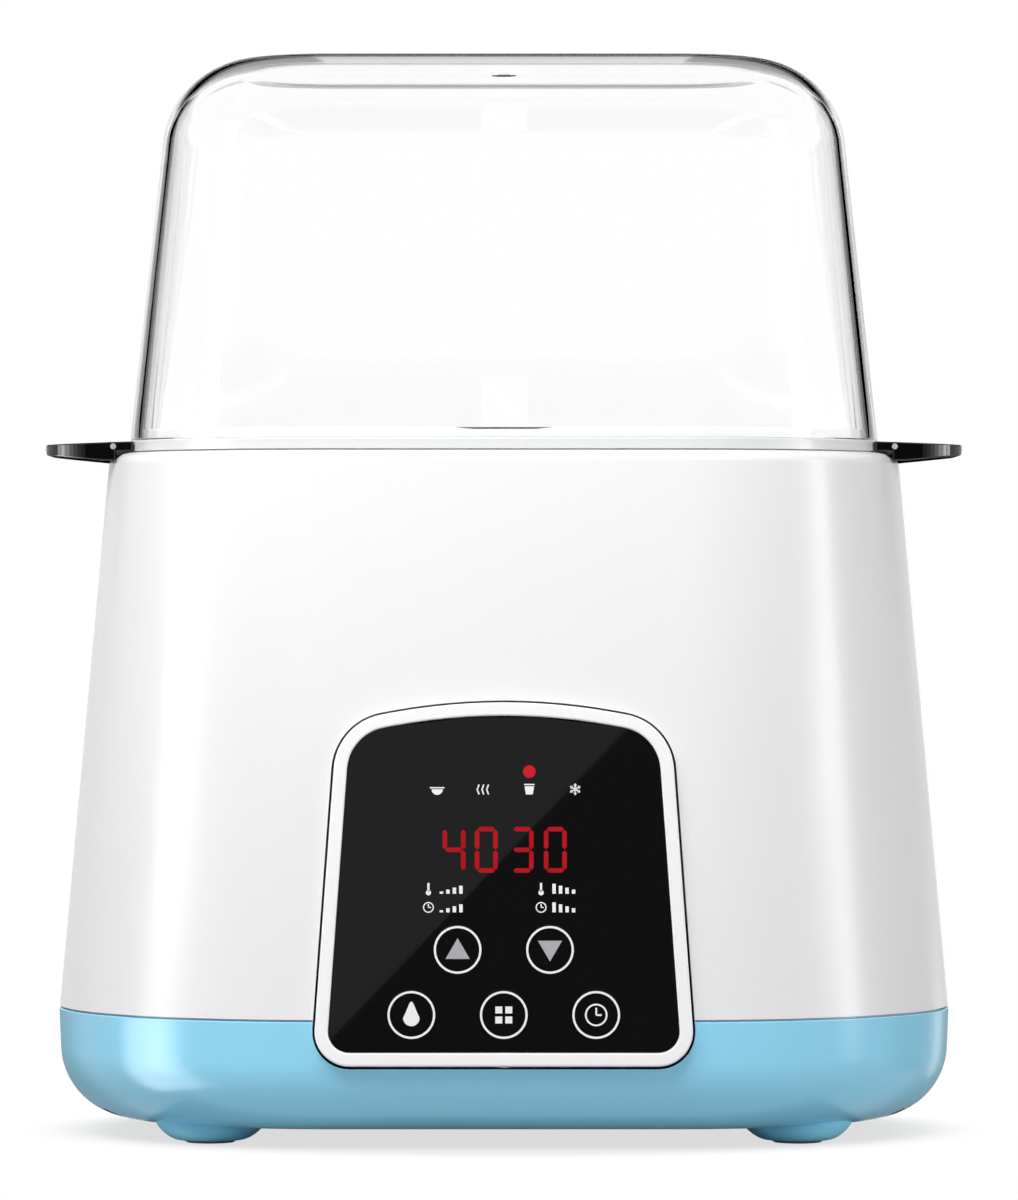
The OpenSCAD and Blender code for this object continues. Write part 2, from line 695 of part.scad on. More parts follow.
module control_board() color("#2f6b45") on_panel() difference() {
    intersection() {
        panel_plate(frame_w + 0.6, board_back, board_n);
        translate([-panel_w, -panel_h, board_back - 1])
            cube([2 * panel_w, panel_h + lamp_v + lamp_d + 2, board_t + 2]);
    }
    for (p = POSTS) translate([p[0], p[1], board_back - 1]) cylinder(d = small_d + fit, h = board_t + 2);
}

module board_screws() color("#b9bec4") on_panel() for (p = POSTS) translate([p[0], p[1], board_back])
    cross_screw(small_d, small_head_d, small_head_h, board_t + small_bite);

module led_display() color("#26282a") on_panel()
    translate([-display_w / 2, display_v - display_h / 2, board_n])
    cube([display_w, display_h, board_gap - 0.4]);

module indicator_lamps() color("#d9d4d4") on_panel() for (i = [-1.5 : 1.5])
    translate([i * lamp_pitch + 0.6, lamp_v, board_n]) {
        cylinder(d = lamp_d, h = board_gap - 0.6);
        cylinder(d = lamp_d + 1, h = lamp_d / 2);
    }

module key_switches() color("#3a3c40") on_panel() for (k = KEYS)
    translate([k[1], k[2], board_n]) difference() {
    translate([-switch_w / 2, -switch_w / 2, 0]) cube([switch_w, switch_w, switch_h]);
    translate([0, 0, switch_floor]) cylinder(d = plunger_d + fit, h = switch_h);
}

module key_cap(i) color("#141517") on_panel() translate([KEYS[i][1], KEYS[i][2], 0]) rotate_extrude()
    polygon(rounded([[0, plunger_n, 0], [stalk_r, plunger_n, 0], [stalk_r, -1, 0], [key_d / 2 + 1, -1, 0],
        [key_d / 2 + 1, -0.2, 0], [key_d / 2, -0.2, 0], [key_d / 2, lens_face + 0.1, 0.25],
        [0, lens_face + 0.1, 0]]));

module plunger(i) color("#e3e0d6") on_panel() translate([KEYS[i][1], KEYS[i][2], plunger_n - 2])
    cylinder(d = plunger_d, h = 2);

// Power board in the base

module power_board() color("#3d7a55") translate([-power_x - power_w, -power_l / 2, power_z]) difference() {
    cube([power_w, power_l, board_t]);
    at_power_screws() translate([0, 0, -1])
        cylinder(d = small_d + fit, h = board_t + 2);
}

module on_power() translate([-power_x - power_w, -power_l / 2, power_z + board_t]) children();

module power_screws() color("#b9bec4") on_power() at_power_screws()
    rotate([180, 0, 0]) cross_screw(small_d, small_head_d, small_head_h, board_t + small_bite);

module transformer() color("#caa24a") on_power() translate([power_edge + 6, power_edge + 4.5, 0]) {
    cube([transformer_w, transformer_l, bobbin_t]);
    translate([bobbin_t, 0, bobbin_t])
        cube([transformer_w - 2 * bobbin_t, transformer_l, transformer_h - bobbin_t]);
}

module relay() color("#2f5fa8") on_power() translate([power_edge + 6, power_l - power_edge - relay_l - 2, 0])
    cube([relay_w, relay_l, relay_h]);

module capacitor() color("#3b3550") on_power()
    translate([power_w - power_edge - 8, power_l - power_edge - capacitor_d - 1, 0]) {
    cylinder(d = capacitor_d, h = capacitor_h);
    translate([0, 0, capacitor_h]) cylinder(d = 0.8 * capacitor_d, h = 0.6);
}

module terminal_block() color("#4f9a5d") on_power()
    translate([power_w - block_w - 2, power_edge + 6, 0]) difference() {
    cube([block_w, 4 * block_pitch + 2, block_h]);
    for (i = [0.5 : 3.5]) translate([block_w / 2, 1 + block_pitch * i, 3])
        cylinder(d = block_pitch - 1.8, h = block_h + 2);
}

// Basket, ears and lid

// The pale band between housing and lid: the basket hangs in it by its lip, and the ears are pinned to it
module basket_rim() color("#eef3f4", 0.6) difference() {
    union() {
        around() polygon(rounded([[basket_r + fit, rim_z, 0], [flange_r - 1.2, rim_z, 0],
            [flange_r - 0.8, rim_z + 0.4, 0], [flange_r, rim_z + 0.4, 0], [flange_r, flange_z, 0.5],
            [rib_r, flange_z, 0], [rib_r, flange_z + rib_h, 0.4], [rib_r - rib_t, flange_z + rib_h, 0.4],
            [rib_r - rib_t, flange_z, 0], [lip_r + fit, flange_z, 0], [lip_r + fit, lip_z, 0],
            [basket_r + fit, lip_z, 0]]));
        around() polygon([[tank_top_r - 2, rim_z - 2], [tank_top_r - fit - 2 * tan(tank_lean), rim_z - 2],
            [tank_top_r - fit - 1.2, rim_z + 0.5], [tank_top_r - 2, rim_z + 0.5]]);
        for (s = [-1, 1]) translate([s * (ear_x + hook_x - 1.2) / 2, 0, ear_mid])
            cube([hook_x - ear_x + 1.2, tab_w, ear_high - ear_low], center = true);
    }
    for (s = [-1, 1]) translate([s * pin_x, 0, ear_mid]) rotate([90, 0, 0])
        cylinder(d = ear_pin_d + snug, h = tab_w + 2, center = true);
}

module basket() color("#eef3f4", 0.6) difference() {
    union() {
        around() polygon(rounded([[0, basket_floor_z - basket_floor_t, 0],
            [basket_r, basket_floor_z - basket_floor_t, 5], [basket_r, lip_z, 0], [lip_r, lip_z, 0],
            [lip_r, flange_z, 0.4], [basket_r - basket_wall, flange_z, 0.8],
            [basket_r - basket_wall, basket_floor_z, 3.4], [0, basket_floor_z, 0]]));
        middle(basket_floor_z - basket_floor_t, basket_floor_z);
        across(grip_w, flange_z - flange_t, flange_t);
        across(divider_t, basket_floor_z - 0.5, divider_h + 0.5);
    }
    for (s = [0, 1]) rotate([0, 0, 180 * s]) {
        for (i = [-2.5 : 2.5]) translate([i * slot_pitch, path_y + basket_r, 0]) slot();
        for (m = [0, 1]) mirror([m, 0, 0]) for (a = [30, 60]) translate([path_x, path_y, 0])
            rotate([0, 0, a - 90]) translate([0, basket_r, 0]) slot();
    }
    for (s = [-1, 1]) translate([s * path_x * 0.9, 0, basket_floor_z - basket_floor_t - 1]) {
        cylinder(d = drain_d, h = basket_floor_t + 2);
        for (ring = [1, 2], a = [0 : 60 : 300]) rotate([0, 0, a + 30 * ring])
            translate([ring * drain_pitch, 0, 0]) cylinder(d = drain_d, h = basket_floor_t + 2);
    }
}

// A bar from the basket's front wall to its back wall
module across(w, z, h) translate([-w / 2, -path_y - basket_r + basket_wall / 2, z])
    cube([w, 2 * (path_y + basket_r) - basket_wall, h]);

module slot() translate([0, 3, (slot_low + slot_high) / 2]) rotate([90, 0, 0])
    linear_extrude(8) stadium(slot_w, slot_high - slot_low);

module ear() difference() {
    intersection() {
        translate([0, 0, ear_low - 4]) linear_extrude(12) polygon(rounded([
            [ear_x - ear_lap, -ear_root_w / 2, 0], [hook_x + 3, -ear_root_w / 2, 6],
            [ear_tip, -ear_tip_w / 2, 9], [ear_tip, ear_tip_w / 2, 9], [hook_x + 3, ear_root_w / 2, 6],
            [ear_x - ear_lap, ear_root_w / 2, 0]]));
        translate([0, ear_root_w, 0]) rotate([90, 0, 0]) linear_extrude(2 * ear_root_w) polygon(rounded([
            [ear_x - ear_lap, ear_low, 0], [hook_x, ear_low, 0], [hook_x + 0.4, ear_low - 2.1, 0.6],
            [ear_tip - 0.6, ear_low - 0.8, 0.6], [ear_tip, ear_low + 0.6, 0.5],
            [ear_tip - 0.5, ear_high - 0.7, 0.5], [ear_x - ear_lap, ear_high, 0]]));
    }
    around() translate([basket_r, ear_low - 1])
        square([flange_r + fit - basket_r, ear_high - ear_low + 2]);
    translate([ear_x - 1, -tab_w / 2 - snug, ear_low - 1])
        cube([hook_x - ear_x + 1 + snug, tab_w + 2 * snug, 6]);
    translate([pin_x, 0, ear_mid]) rotate([90, 0, 0])
        cylinder(d = ear_pin_d + snug, h = ear_root_w + 2, center = true);
}

module right_ear() color("#17181a") ear();

module left_ear() color("#17181a") mirror([1, 0, 0]) ear();

module ear_pins() color("#c9ced2") for (s = [-1, 1]) translate([s * pin_x, 0, ear_mid])
    rotate([90, 0, 0]) cylinder(d = ear_pin_d, h = ear_root_w - 0.6, center = true);

module lid_dome() color("#dfe9ee", 0.3) difference() {
    union() {
        around() polygon(rounded([[0, top_z - lid_top_t, 0],
            [lid_r - lid_wall - (lid_h - lid_top_t) * tan(lid_lean) + 0.6, top_z - lid_top_t,
                lid_round - lid_top_t],
            [lid_r - lid_wall, flange_z, 0.3], [lid_r, flange_z, 0.5],
            [lid_r - lid_h * tan(lid_lean), top_z, lid_round], [0, top_z, 0]]));
        middle(top_z - lid_top_t, top_z);
        intersection() {
            around() translate([lid_r - 1.2, ridge_z]) square([2.2, ridge_t]);
            for (s = [-1, 1]) translate([0, s * (path_y + lid_r - ridge_t / 4 + ridge_proud - ridge_r), 0])
                cylinder(r = ridge_r, h = 2 * top_z, $fn = 200);
        }
    }
    translate([0, 0, top_z - lid_top_t - 5]) cylinder(d = vent_d, h = lid_top_t + 10);
}

base_shell();
foot_pads();
housing_screws();
outer_housing();
water_tank();
heating_plate();
plate_seal();
heating_element();
clamp_ring();
clamp_screws();
thermostat();
thermal_fuse();
temperature_sensor();
sensor_holder();
panel_bezel();
panel_lens();
control_board();
board_screws();
led_display();
indicator_lamps();
key_switches();
power_board();
power_screws();
transformer();
relay();
capacitor();
terminal_block();
cord_gland();
basket();
basket_rim();
left_ear();
right_ear();
ear_pins();
lid_dome();
key_cap(0);  // key_up
key_cap(1);  // key_down
key_cap(2);  // key_warm
key_cap(3);  // key_function
key_cap(4);  // key_timer
plunger(0);  // plunger_up
plunger(1);  // plunger_down
plunger(2);  // plunger_warm
plunger(3);  // plunger_function
plunger(4);  // plunger_timer
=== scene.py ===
# %% [markdown]
# A twin steam sterilizer with a clear lift-off lid, a white housing, a light blue base and a black control
# panel. The solids were drawn in CAD, and they are the frame: every piece made here lies where the CAD
# says. This lesson makes the moulded skins again with softer edges, prints the panel, and gives each piece
# a finish.

# %% Load the frame
import math

import bmesh
import bpy
from mathutils import Matrix, Vector


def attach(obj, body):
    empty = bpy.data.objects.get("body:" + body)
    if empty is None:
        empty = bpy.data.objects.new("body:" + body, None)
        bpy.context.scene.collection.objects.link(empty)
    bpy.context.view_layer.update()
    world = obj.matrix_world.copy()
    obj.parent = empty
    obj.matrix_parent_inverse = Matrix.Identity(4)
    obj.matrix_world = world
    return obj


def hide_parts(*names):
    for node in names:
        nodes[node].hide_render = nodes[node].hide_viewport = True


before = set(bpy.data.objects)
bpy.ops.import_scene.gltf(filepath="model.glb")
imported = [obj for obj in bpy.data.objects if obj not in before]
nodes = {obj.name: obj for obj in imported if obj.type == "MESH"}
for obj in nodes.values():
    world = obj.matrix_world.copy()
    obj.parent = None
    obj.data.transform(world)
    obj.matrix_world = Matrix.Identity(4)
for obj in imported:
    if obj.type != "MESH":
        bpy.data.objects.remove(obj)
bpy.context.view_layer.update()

scene = bpy.context.scene
MM = 0.001

# %% [markdown]
# The camera comes first, because everything is judged through it. Lines on the object that run away from us
# hardly meet, so the photograph was taken from far off with a long lens. A level camera at half the height
# of the object, 1.65 metres in front, keeps the upright edges upright.

# %% Camera
LENS = 205.4
CAMERA_PLACE = (1.2, -1650.0, 127.4)

camera_data = bpy.data.cameras.new("camera")
camera_data.lens = LENS
camera = bpy.data.objects.new("camera", camera_data)
camera.location = Vector(CAMERA_PLACE) * MM
camera.rotation_euler = (math.radians(90), 0, 0)
scene.collection.objects.link(camera)
scene.camera = camera
scene.view_settings.view_transform = "Standard"
print("camera", [round(c, 4) for c in camera.location], "lens", camera_data.lens)

# %% [markdown]
# A finish is a small node tree. Moulded plastic is never one flat colour: its gloss wanders a little, its
# colour drifts by a shade, and its skin has a very fine grain. All three come from noise on Object
# coordinates, so the pattern stays on the piece when it moves. What is the same all over is typed straight
# into the shader's own sockets.

# %% Finishes for moulded plastic and rubber
NOISE_LOW = 0.15
NOISE_HIGH = 0.85
DRIFT_SCALE = 14.0
GLOSS_SCALE = 40.0
GRAIN_STRENGTH = 0.5
BLUE = (0.31, 0.76, 1.0)


def node_tree(name):
    finish = bpy.data.materials.new(name)
    finish.use_nodes = True
    tree = finish.node_tree
    shader = tree.nodes["Principled BSDF"]
    place = tree.nodes.new("ShaderNodeTexCoord").outputs["Object"]
    return finish, tree, shader, place


def noise(tree, place, scale, detail=2.0):
    texture = tree.nodes.new("ShaderNodeTexNoise")
    texture.inputs["Scale"].default_value = scale
    texture.inputs["Detail"].default_value = detail
    tree.links.new(place, texture.inputs["Vector"])
    return texture.outputs["Fac"]


def spread(tree, value, low, high):
    span = tree.nodes.new("ShaderNodeMapRange")
    span.interpolation_type = "SMOOTHERSTEP"
    span.inputs["From Min"].default_value = NOISE_LOW
    span.inputs["From Max"].default_value = NOISE_HIGH
    span.inputs["To Min"].default_value = low
    span.inputs["To Max"].default_value = high
    tree.links.new(value, span.inputs["Value"])
    return span.outputs["Result"]


def two_tones(tree, value, first, second):
    ramp = tree.nodes.new("ShaderNodeValToRGB")
    ramp.color_ramp.interpolation = "EASE"
    ramp.color_ramp.elements[0].position = NOISE_LOW
    ramp.color_ramp.elements[1].position = NOISE_HIGH
    ramp.color_ramp.elements[0].color = (*first, 1)
    ramp.color_ramp.elements[1].color = (*second, 1)
    tree.links.new(value, ramp.inputs["Fac"])
    return ramp.outputs["Color"]


def grain(tree, place, shader, scale, depth):
    bump = tree.nodes.new("ShaderNodeBump")
    bump.inputs["Distance"].default_value = depth * MM
    bump.inputs["Strength"].default_value = GRAIN_STRENGTH
    tree.links.new(noise(tree, place, scale, 3.0), bump.inputs["Height"])
    tree.links.new(bump.outputs["Normal"], shader.inputs["Normal"])


def moulded(name, colour, gloss, drift=0.03, wander=0.04, grain_scale=2500.0, grain_depth=0.004, **sockets):
    finish, tree, shader, place = node_tree(name)
    darker = [c * (1 - drift) for c in colour]
    tone = two_tones(tree, noise(tree, place, DRIFT_SCALE), darker, colour)
    tree.links.new(tone, shader.inputs["Base Color"])
    tree.links.new(spread(tree, noise(tree, place, GLOSS_SCALE), gloss - wander, gloss + wander),
                   shader.inputs["Roughness"])
    grain(tree, place, shader, grain_scale, grain_depth)
    for socket, value in sockets.items():
        shader.inputs[socket.replace("_", " ")].default_value = value
    return finish


FINISHES = {
    "blue_plastic": moulded("blue_plastic", BLUE, 0.25, drift=0.02, wander=0.015),
    "white_plastic": moulded("white_plastic", (0.90, 0.90, 0.91), 0.24, drift=0.01, wander=0.02),
    "tank_plastic": moulded("tank_plastic", (0.80, 0.82, 0.82), 0.34),
    "black_gloss": moulded("black_gloss", (0.004, 0.004, 0.0048), 0.012, drift=0.2, wander=0.004,
                           grain_depth=0.0),
    "black_plastic": moulded("black_plastic", (0.018, 0.018, 0.02), 0.42),
    "pad_rubber": moulded("pad_rubber", (0.16, 0.20, 0.24), 0.70, drift=0.12, grain_scale=900.0,
                          grain_depth=0.02),
    "gland_rubber": moulded("gland_rubber", (0.72, 0.75, 0.77), 0.55, grain_scale=1200.0, grain_depth=0.01),
    "silicone": moulded("silicone", (0.62, 0.24, 0.14), 0.50, drift=0.08),
    "lamp": moulded("lamp", (0.70, 0.66, 0.64), 0.22),
    "relay_blue": moulded("relay_blue", (0.03, 0.12, 0.38), 0.40),
    "sleeve_purple": moulded("sleeve_purple", (0.05, 0.035, 0.09), 0.32),
    "block_green": moulded("block_green", (0.08, 0.33, 0.11), 0.45),
    "ceramic": moulded("ceramic", (0.66, 0.60, 0.48), 0.62, drift=0.10, grain_scale=1500.0,
                       grain_depth=0.015),
    "copper_yellow": moulded("copper_yellow", (0.58, 0.36, 0.07), 0.38, drift=0.15),
}
print("moulded finishes:", sorted(FINISHES))

# %% [markdown]
# The metal parts are turned or pressed. Their marks run one way, so the noise is squeezed along one axis by
# a Mapping node before it reaches the gloss and the bump. The heating plate is turned on a lathe: rings
# round its middle, made by a wave texture. The circuit boards show copper tracks under green lacquer, and
# those are a brick texture with thin joints.

# %% Finishes for metal and circuit boards
BRUSH_SCALE = 300.0
BRUSH_SHADE = 0.9
TURNED_SCALE = 500.0
TURNED_SHADE = 0.92
TRACK_SCALE = 160.0
TRACK_WIDE = 0.03
BOARD_SHADE = 0.85
LACQUER_SCALE = 60.0


def brushed(name, colour, gloss, squeeze):
    finish, tree, shader, place = node_tree(name)
    mapping = tree.nodes.new("ShaderNodeMapping")
    mapping.inputs["Scale"].default_value = squeeze
    tree.links.new(place, mapping.inputs["Vector"])
    marks = noise(tree, mapping.outputs["Vector"], BRUSH_SCALE, 4.0)
    darker = [c * BRUSH_SHADE for c in colour]
    tree.links.new(two_tones(tree, marks, darker, colour), shader.inputs["Base Color"])
    tree.links.new(spread(tree, marks, gloss - 0.06, gloss + 0.08), shader.inputs["Roughness"])
    shader.inputs["Metallic"].default_value = 1.0
    return finish


def turned(name, colour, gloss):
    finish, tree, shader, place = node_tree(name)
    rings = tree.nodes.new("ShaderNodeTexWave")
    rings.wave_type = "RINGS"
    rings.rings_direction = "Z"
    rings.inputs["Scale"].default_value = TURNED_SCALE
    rings.inputs["Distortion"].default_value = 1.5
    tree.links.new(place, rings.inputs["Vector"])
    tree.links.new(spread(tree, rings.outputs["Fac"], gloss - 0.05, gloss + 0.10),
                   shader.inputs["Roughness"])
    tree.links.new(two_tones(tree, rings.outputs["Fac"], [c * TURNED_SHADE for c in colour], colour),
                   shader.inputs["Base Color"])
    shader.inputs["Metallic"].default_value = 1.0
    return finish


def circuit(name, lacquer, track):
    finish, tree, shader, place = node_tree(name)
    tracks = tree.nodes.new("ShaderNodeTexBrick")
    tracks.inputs["Color1"].default_value = (*lacquer, 1)
    tracks.inputs["Color2"].default_value = (*[c * BOARD_SHADE for c in lacquer], 1)
    tracks.inputs["Mortar"].default_value = (*track, 1)
    tracks.inputs["Scale"].default_value = TRACK_SCALE
    tracks.inputs["Mortar Size"].default_value = TRACK_WIDE
    tree.links.new(place, tracks.inputs["Vector"])
    tree.links.new(tracks.outputs["Color"], shader.inputs["Base Color"])
    tree.links.new(spread(tree, noise(tree, place, LACQUER_SCALE), 0.30, 0.42), shader.inputs["Roughness"])
    return finish


FINISHES["steel"] = brushed("steel", (0.62, 0.63, 0.65), 0.36, (1.0, 8.0, 1.0))
FINISHES["plate_metal"] = turned("plate_metal", (0.68, 0.69, 0.70), 0.34)
FINISHES["board_green"] = circuit("board_green", (0.02, 0.13, 0.05), (0.05, 0.24, 0.10))
print("metal and board finishes:", len(FINISHES), "in all")

# %% [markdown]
# Clear plastic is a shader with full transmission, and the lid is polished. The basket and its rim are
# milky: part of the light goes through, the rest is scattered back as white. A faint wander in the gloss
# and very shallow flow marks keep them from looking like a perfect formula.

# %% Finishes for clear plastic
PLASTIC_IOR = 1.49
POLISH_SCALE = 30.0
FLOW_SCALE = 25.0


def clear(name, tint, gloss, waves, through=1.0):
    finish, tree, shader, place = node_tree(name)
    shader.inputs["Base Color"].default_value = (*tint, 1)
    shader.inputs["Transmission Weight"].default_value = through
    shader.inputs["IOR"].default_value = PLASTIC_IOR
    polish = spread(tree, noise(tree, place, POLISH_SCALE), gloss, gloss * 1.6)
    tree.links.new(polish, shader.inputs["Roughness"])
    grain(tree, place, shader, FLOW_SCALE, waves)
    return finish


FINISHES["clear_plastic"] = clear("clear_plastic", (0.997, 0.998, 0.998), 0.006, 0.005)
FINISHES["frosted_plastic"] = clear("frosted_plastic", (0.94, 0.95, 0.955), 0.16, 0.02, 0.2)
print("clear finishes made")

# %% [markdown]
# Each CAD node came in with a plain colour named after its slot. The finish of that name goes into the
# node's own material slot, so inner parts that only show when the object is opened are finished too.

# %% Dress the CAD nodes
for node in nodes.values():
    for place in node.material_slots:
        slot_name = place.material.name.split(".")[0]
        place.material = FINISHES[slot_name]
print("dressed", len(nodes), "nodes")

# %% [markdown]
# The housing, the base, the lid and the basket's rim are all one idea: a wall drawn as a flat outline and
# carried round a rounded rectangle. The four corner centres of that rectangle are the same for all of them.
# A bmesh makes it in two moves that repeat four times: extrude the outline along a straight side, then spin
# it a quarter turn round the next corner. After the last turn the ends meet and are merged.

# %% Carry an outline round the plan
CORE_X = 41.5
CORE_Y = 5.5
QUARTER_STEPS = 24
MERGE = 0.001
SIDES = [((CORE_X, CORE_Y), (0, 2 * CORE_Y, 0)), ((-CORE_X, CORE_Y), (-2 * CORE_X, 0, 0)),
         ((-CORE_X, -CORE_Y), (0, -2 * CORE_Y, 0)), ((CORE_X, -CORE_Y), (2 * CORE_X, 0, 0))]


def moving_row(made):
    ends = {v for v in made if isinstance(v, bmesh.types.BMVert)}
    row = [e for e in made if isinstance(e, bmesh.types.BMEdge) and set(e.verts) <= ends]
    return list(ends), row


def carry_round(outline, ring):
    bm = bmesh.new()
    verts = [bm.verts.new((CORE_X + r, -CORE_Y, z)) for r, z, _ in outline]
    pairs = list(zip(verts, verts[1:])) + ([(verts[-1], verts[0])] if ring else [])
    row = [bm.edges.new(pair) for pair in pairs]
    for centre, run in SIDES:
        ends, row = moving_row(bmesh.ops.extrude_edge_only(bm, edges=row)["geom"])
        bmesh.ops.translate(bm, verts=ends, vec=run)
        spun = bmesh.ops.spin(bm, geom=ends + row, cent=(*centre, 0), axis=(0, 0, 1),
                              angle=math.radians(90), steps=QUARTER_STEPS, use_merge=False)
        ends, row = moving_row(spun["geom_last"])
    bmesh.ops.remove_doubles(bm, verts=bm.verts, dist=MERGE)
    rims = [e for e in bm.edges if e.is_boundary]
    if rims:
        bmesh.ops.holes_fill(bm, edges=rims, sides=0)
    bmesh.ops.recalc_face_normals(bm, faces=bm.faces)
    return bm


print("core of the plan", 2 * CORE_X, "by", 2 * CORE_Y, "mm")

# %% [markdown]
# Corners of the outline turn into edges that run round the whole shell. The Bevel operator rounds them. It
# wants the distance from the edge to where the rounding starts, so the radius is turned into that distance
# with the angle between the two walls.

# %% Round the edges of a shell
NEAR = 0.002
LEAST_STEPS = 3
MOST_STEPS = 14


def off_core(co):
    return math.hypot(max(abs(co.x) - CORE_X, 0), max(abs(co.y) - CORE_Y, 0))


def ring_edges(bm, r, z):
    near = {v for v in bm.verts if abs(v.co.z - z) < NEAR and abs(off_core(v.co) - r) < NEAR}
    return [e for e in bm.edges if set(e.verts) <= near]


def round_edges(bm, outline, ring):
    count = len(outline)
    for i, (r, z, radius) in enumerate(outline):
        if radius == 0 or (not ring and i in (0, count - 1)):
            continue
        before = Vector(outline[i - 1][:2]) - Vector((r, z))
        after = Vector(outline[(i + 1) % count][:2]) - Vector((r, z))
        turn = math.pi - before.angle(after)
        bmesh.ops.bevel(bm, geom=ring_edges(bm, r, z), offset=radius * math.tan(turn / 2), affect="EDGES",
                        segments=max(LEAST_STEPS, min(MOST_STEPS, round(radius))), profile=0.5, material=-1,
                        clamp_overlap=False)


print("edges are rounded by bevels of", LEAST_STEPS, "to", MOST_STEPS, "segments")

# %% [markdown]
# Every finished mesh goes the same way into the scene: scaled from millimetres to metres, shaded smooth
# with sharp edges kept sharp, given its finish, tied to the body that carries it, and named as the stand-in
# for its CAD node. A Weighted Normal modifier lets the large faces decide the shading, so flat walls stay
# flat right up to their rounded edges.

# %% Turn a bmesh into a finished piece
SHARP = math.radians(32)


def piece(bm, name, slot_name, body, replaced=(), finish=None, weighted=True):
    bmesh.ops.scale(bm, vec=(MM, MM, MM), verts=bm.verts)
    mesh = bpy.data.meshes.new(name)
    bm.to_mesh(mesh)
    bm.free()
    for face in mesh.polygons:
        face.use_smooth = True
    mesh.set_sharp_from_angle(angle=SHARP)
    mesh.materials.append(finish or FINISHES[slot_name])
    obj = bpy.data.objects.new(name, mesh)
    scene.collection.objects.link(obj)
    if weighted:
        modifier = obj.modifiers.new("flat_walls", "WEIGHTED_NORMAL")
        modifier.keep_sharp = True
    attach(obj, body)
    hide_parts(*replaced)
    print(name, "faces:", len(mesh.polygons), "on", body)
    return obj


# %% [markdown]
# Openings are cut with a Boolean: a closed cutter is taken away from the shell. The same modifier can also
# join two solids, or keep only what they share. It would work live, but a finished mesh is safer to shade
# and export, so its result is read back into a bmesh at once.

# %% Cut one bmesh with another


def cut(bm, cutter, operation="DIFFERENCE"):
    pair = []
    for part, label in ((bm, "shell"), (cutter, "cutter")):
        mesh = bpy.data.meshes.new(label)
        part.to_mesh(mesh)
        part.free()
        pair.append(bpy.data.objects.new(label, mesh))
        scene.collection.objects.link(pair[-1])
    shell, tool = pair
    boolean = shell.modifiers.new("cut", "BOOLEAN")
    boolean.operation = operation
    boolean.solver = "EXACT"
    boolean.object = tool
    result = bmesh.new()
    result.from_object(shell, bpy.context.evaluated_depsgraph_get())
    for obj in pair:
        bpy.data.meshes.remove(obj.data)
    return result


def merge_in(bm, other):
    mesh = bpy.data.meshes.new("join")
    other.to_mesh(mesh)
    other.free()
    bm.from_mesh(mesh)
    bpy.data.meshes.remove(mesh)


def rod(radius, low, high, place, steps=48):
    bm = bmesh.new()
    bmesh.ops.create_cone(bm, cap_ends=True, segments=steps, radius1=radius, radius2=radius,
                          depth=high - low)
    bmesh.ops.translate(bm, verts=bm.verts, vec=(*place, (low + high) / 2))
    return bm


def block(length, width, height):
    bm = bmesh.new()
    bmesh.ops.create_cube(bm, size=1.0)
    bmesh.ops.scale(bm, vec=(length, width, height), verts=bm.verts)
    return bm


print("cutting helpers ready")

# %% [markdown]
# The control panel lies on the sloping front of the housing. Its outline is drawn once, flat, as five
# points with a radius each: two lower corners, two upper corners and the top of the arch. Each corner turns
# into an arc that touches both straight lines. A larger or smaller copy keeps the middles of the arcs and
# changes only their radius. A matrix then stands the flat drawing up on the slope. A copy grown by a fine
# gap, and made thick, cuts the window for the panel.

# %% The panel's outline and its place on the front
SLOPE = math.radians(5.18)
PANEL_MIDDLE = (0.0, -67.6435, 61.6783)
PANEL_POINTS = [(-44.2, -42.05, 8.0), (44.2, -42.05, 8.0), (38.6, 37.34, 13.5), (0.0, 44.42, 142.0),
                (-38.6, 37.34, 13.5)]
PANEL_GAP = 0.6
WINDOW_BACK = -14.0
WINDOW_FRONT = 12.0
ON_PANEL = Matrix.Translation(PANEL_MIDDLE) @ Matrix.Rotation(math.radians(90) - SLOPE, 4, "X")


def rounded_face(bm, points, height, grow=0.0, steps=12):
    outline = []
    for i, (x, y, radius) in enumerate(points):
        corner = Vector((x, y))
        before = (Vector(points[i - 1][:2]) - corner).normalized()
        after = (Vector(points[(i + 1) % len(points)][:2]) - corner).normalized()
        half = before.angle(after) / 2
        if radius == 0:
            outline.append(corner)
            continue
        centre = corner + (before + after).normalized() * radius / math.sin(half)
        arm = (corner + before * radius / math.tan(half) - centre) * (1 + grow / radius)
        for k in range(steps + 1):
            outline.append(centre + Matrix.Rotation((math.pi - 2 * half) * k / steps, 2) @ arm)
    face = bm.faces.new([bm.verts.new((*point, height)) for point in outline])
    face.normal_update()
    return [face]


def thicken(bm, faces, rise):
    made = bmesh.ops.extrude_face_region(bm, geom=faces, use_keep_orig=True)["geom"]
    bmesh.ops.translate(bm, verts=[v for v in made if isinstance(v, bmesh.types.BMVert)], vec=(0, 0, rise))
    bmesh.ops.recalc_face_normals(bm, faces=bm.faces)


def stand_up(bm):
    bmesh.ops.transform(bm, matrix=ON_PANEL, verts=bm.verts)
    return bm


def panel_window():
    bm = bmesh.new()
    thicken(bm, rounded_face(bm, PANEL_POINTS, WINDOW_BACK, PANEL_GAP), WINDOW_FRONT - WINDOW_BACK)
    return stand_up(bm)


print("panel", 2 * PANEL_POINTS[1][0], "mm wide, middle at", PANEL_MIDDLE)

# %% [markdown]
# The housing is the white tapered shell. Its outline starts at the seam, goes up the leaning outer wall,
# over the rounded rim, down the step that carries the tank, and back down inside. The small step at the
# bottom leaves a shallow groove, which is the thin dark seam above the base.

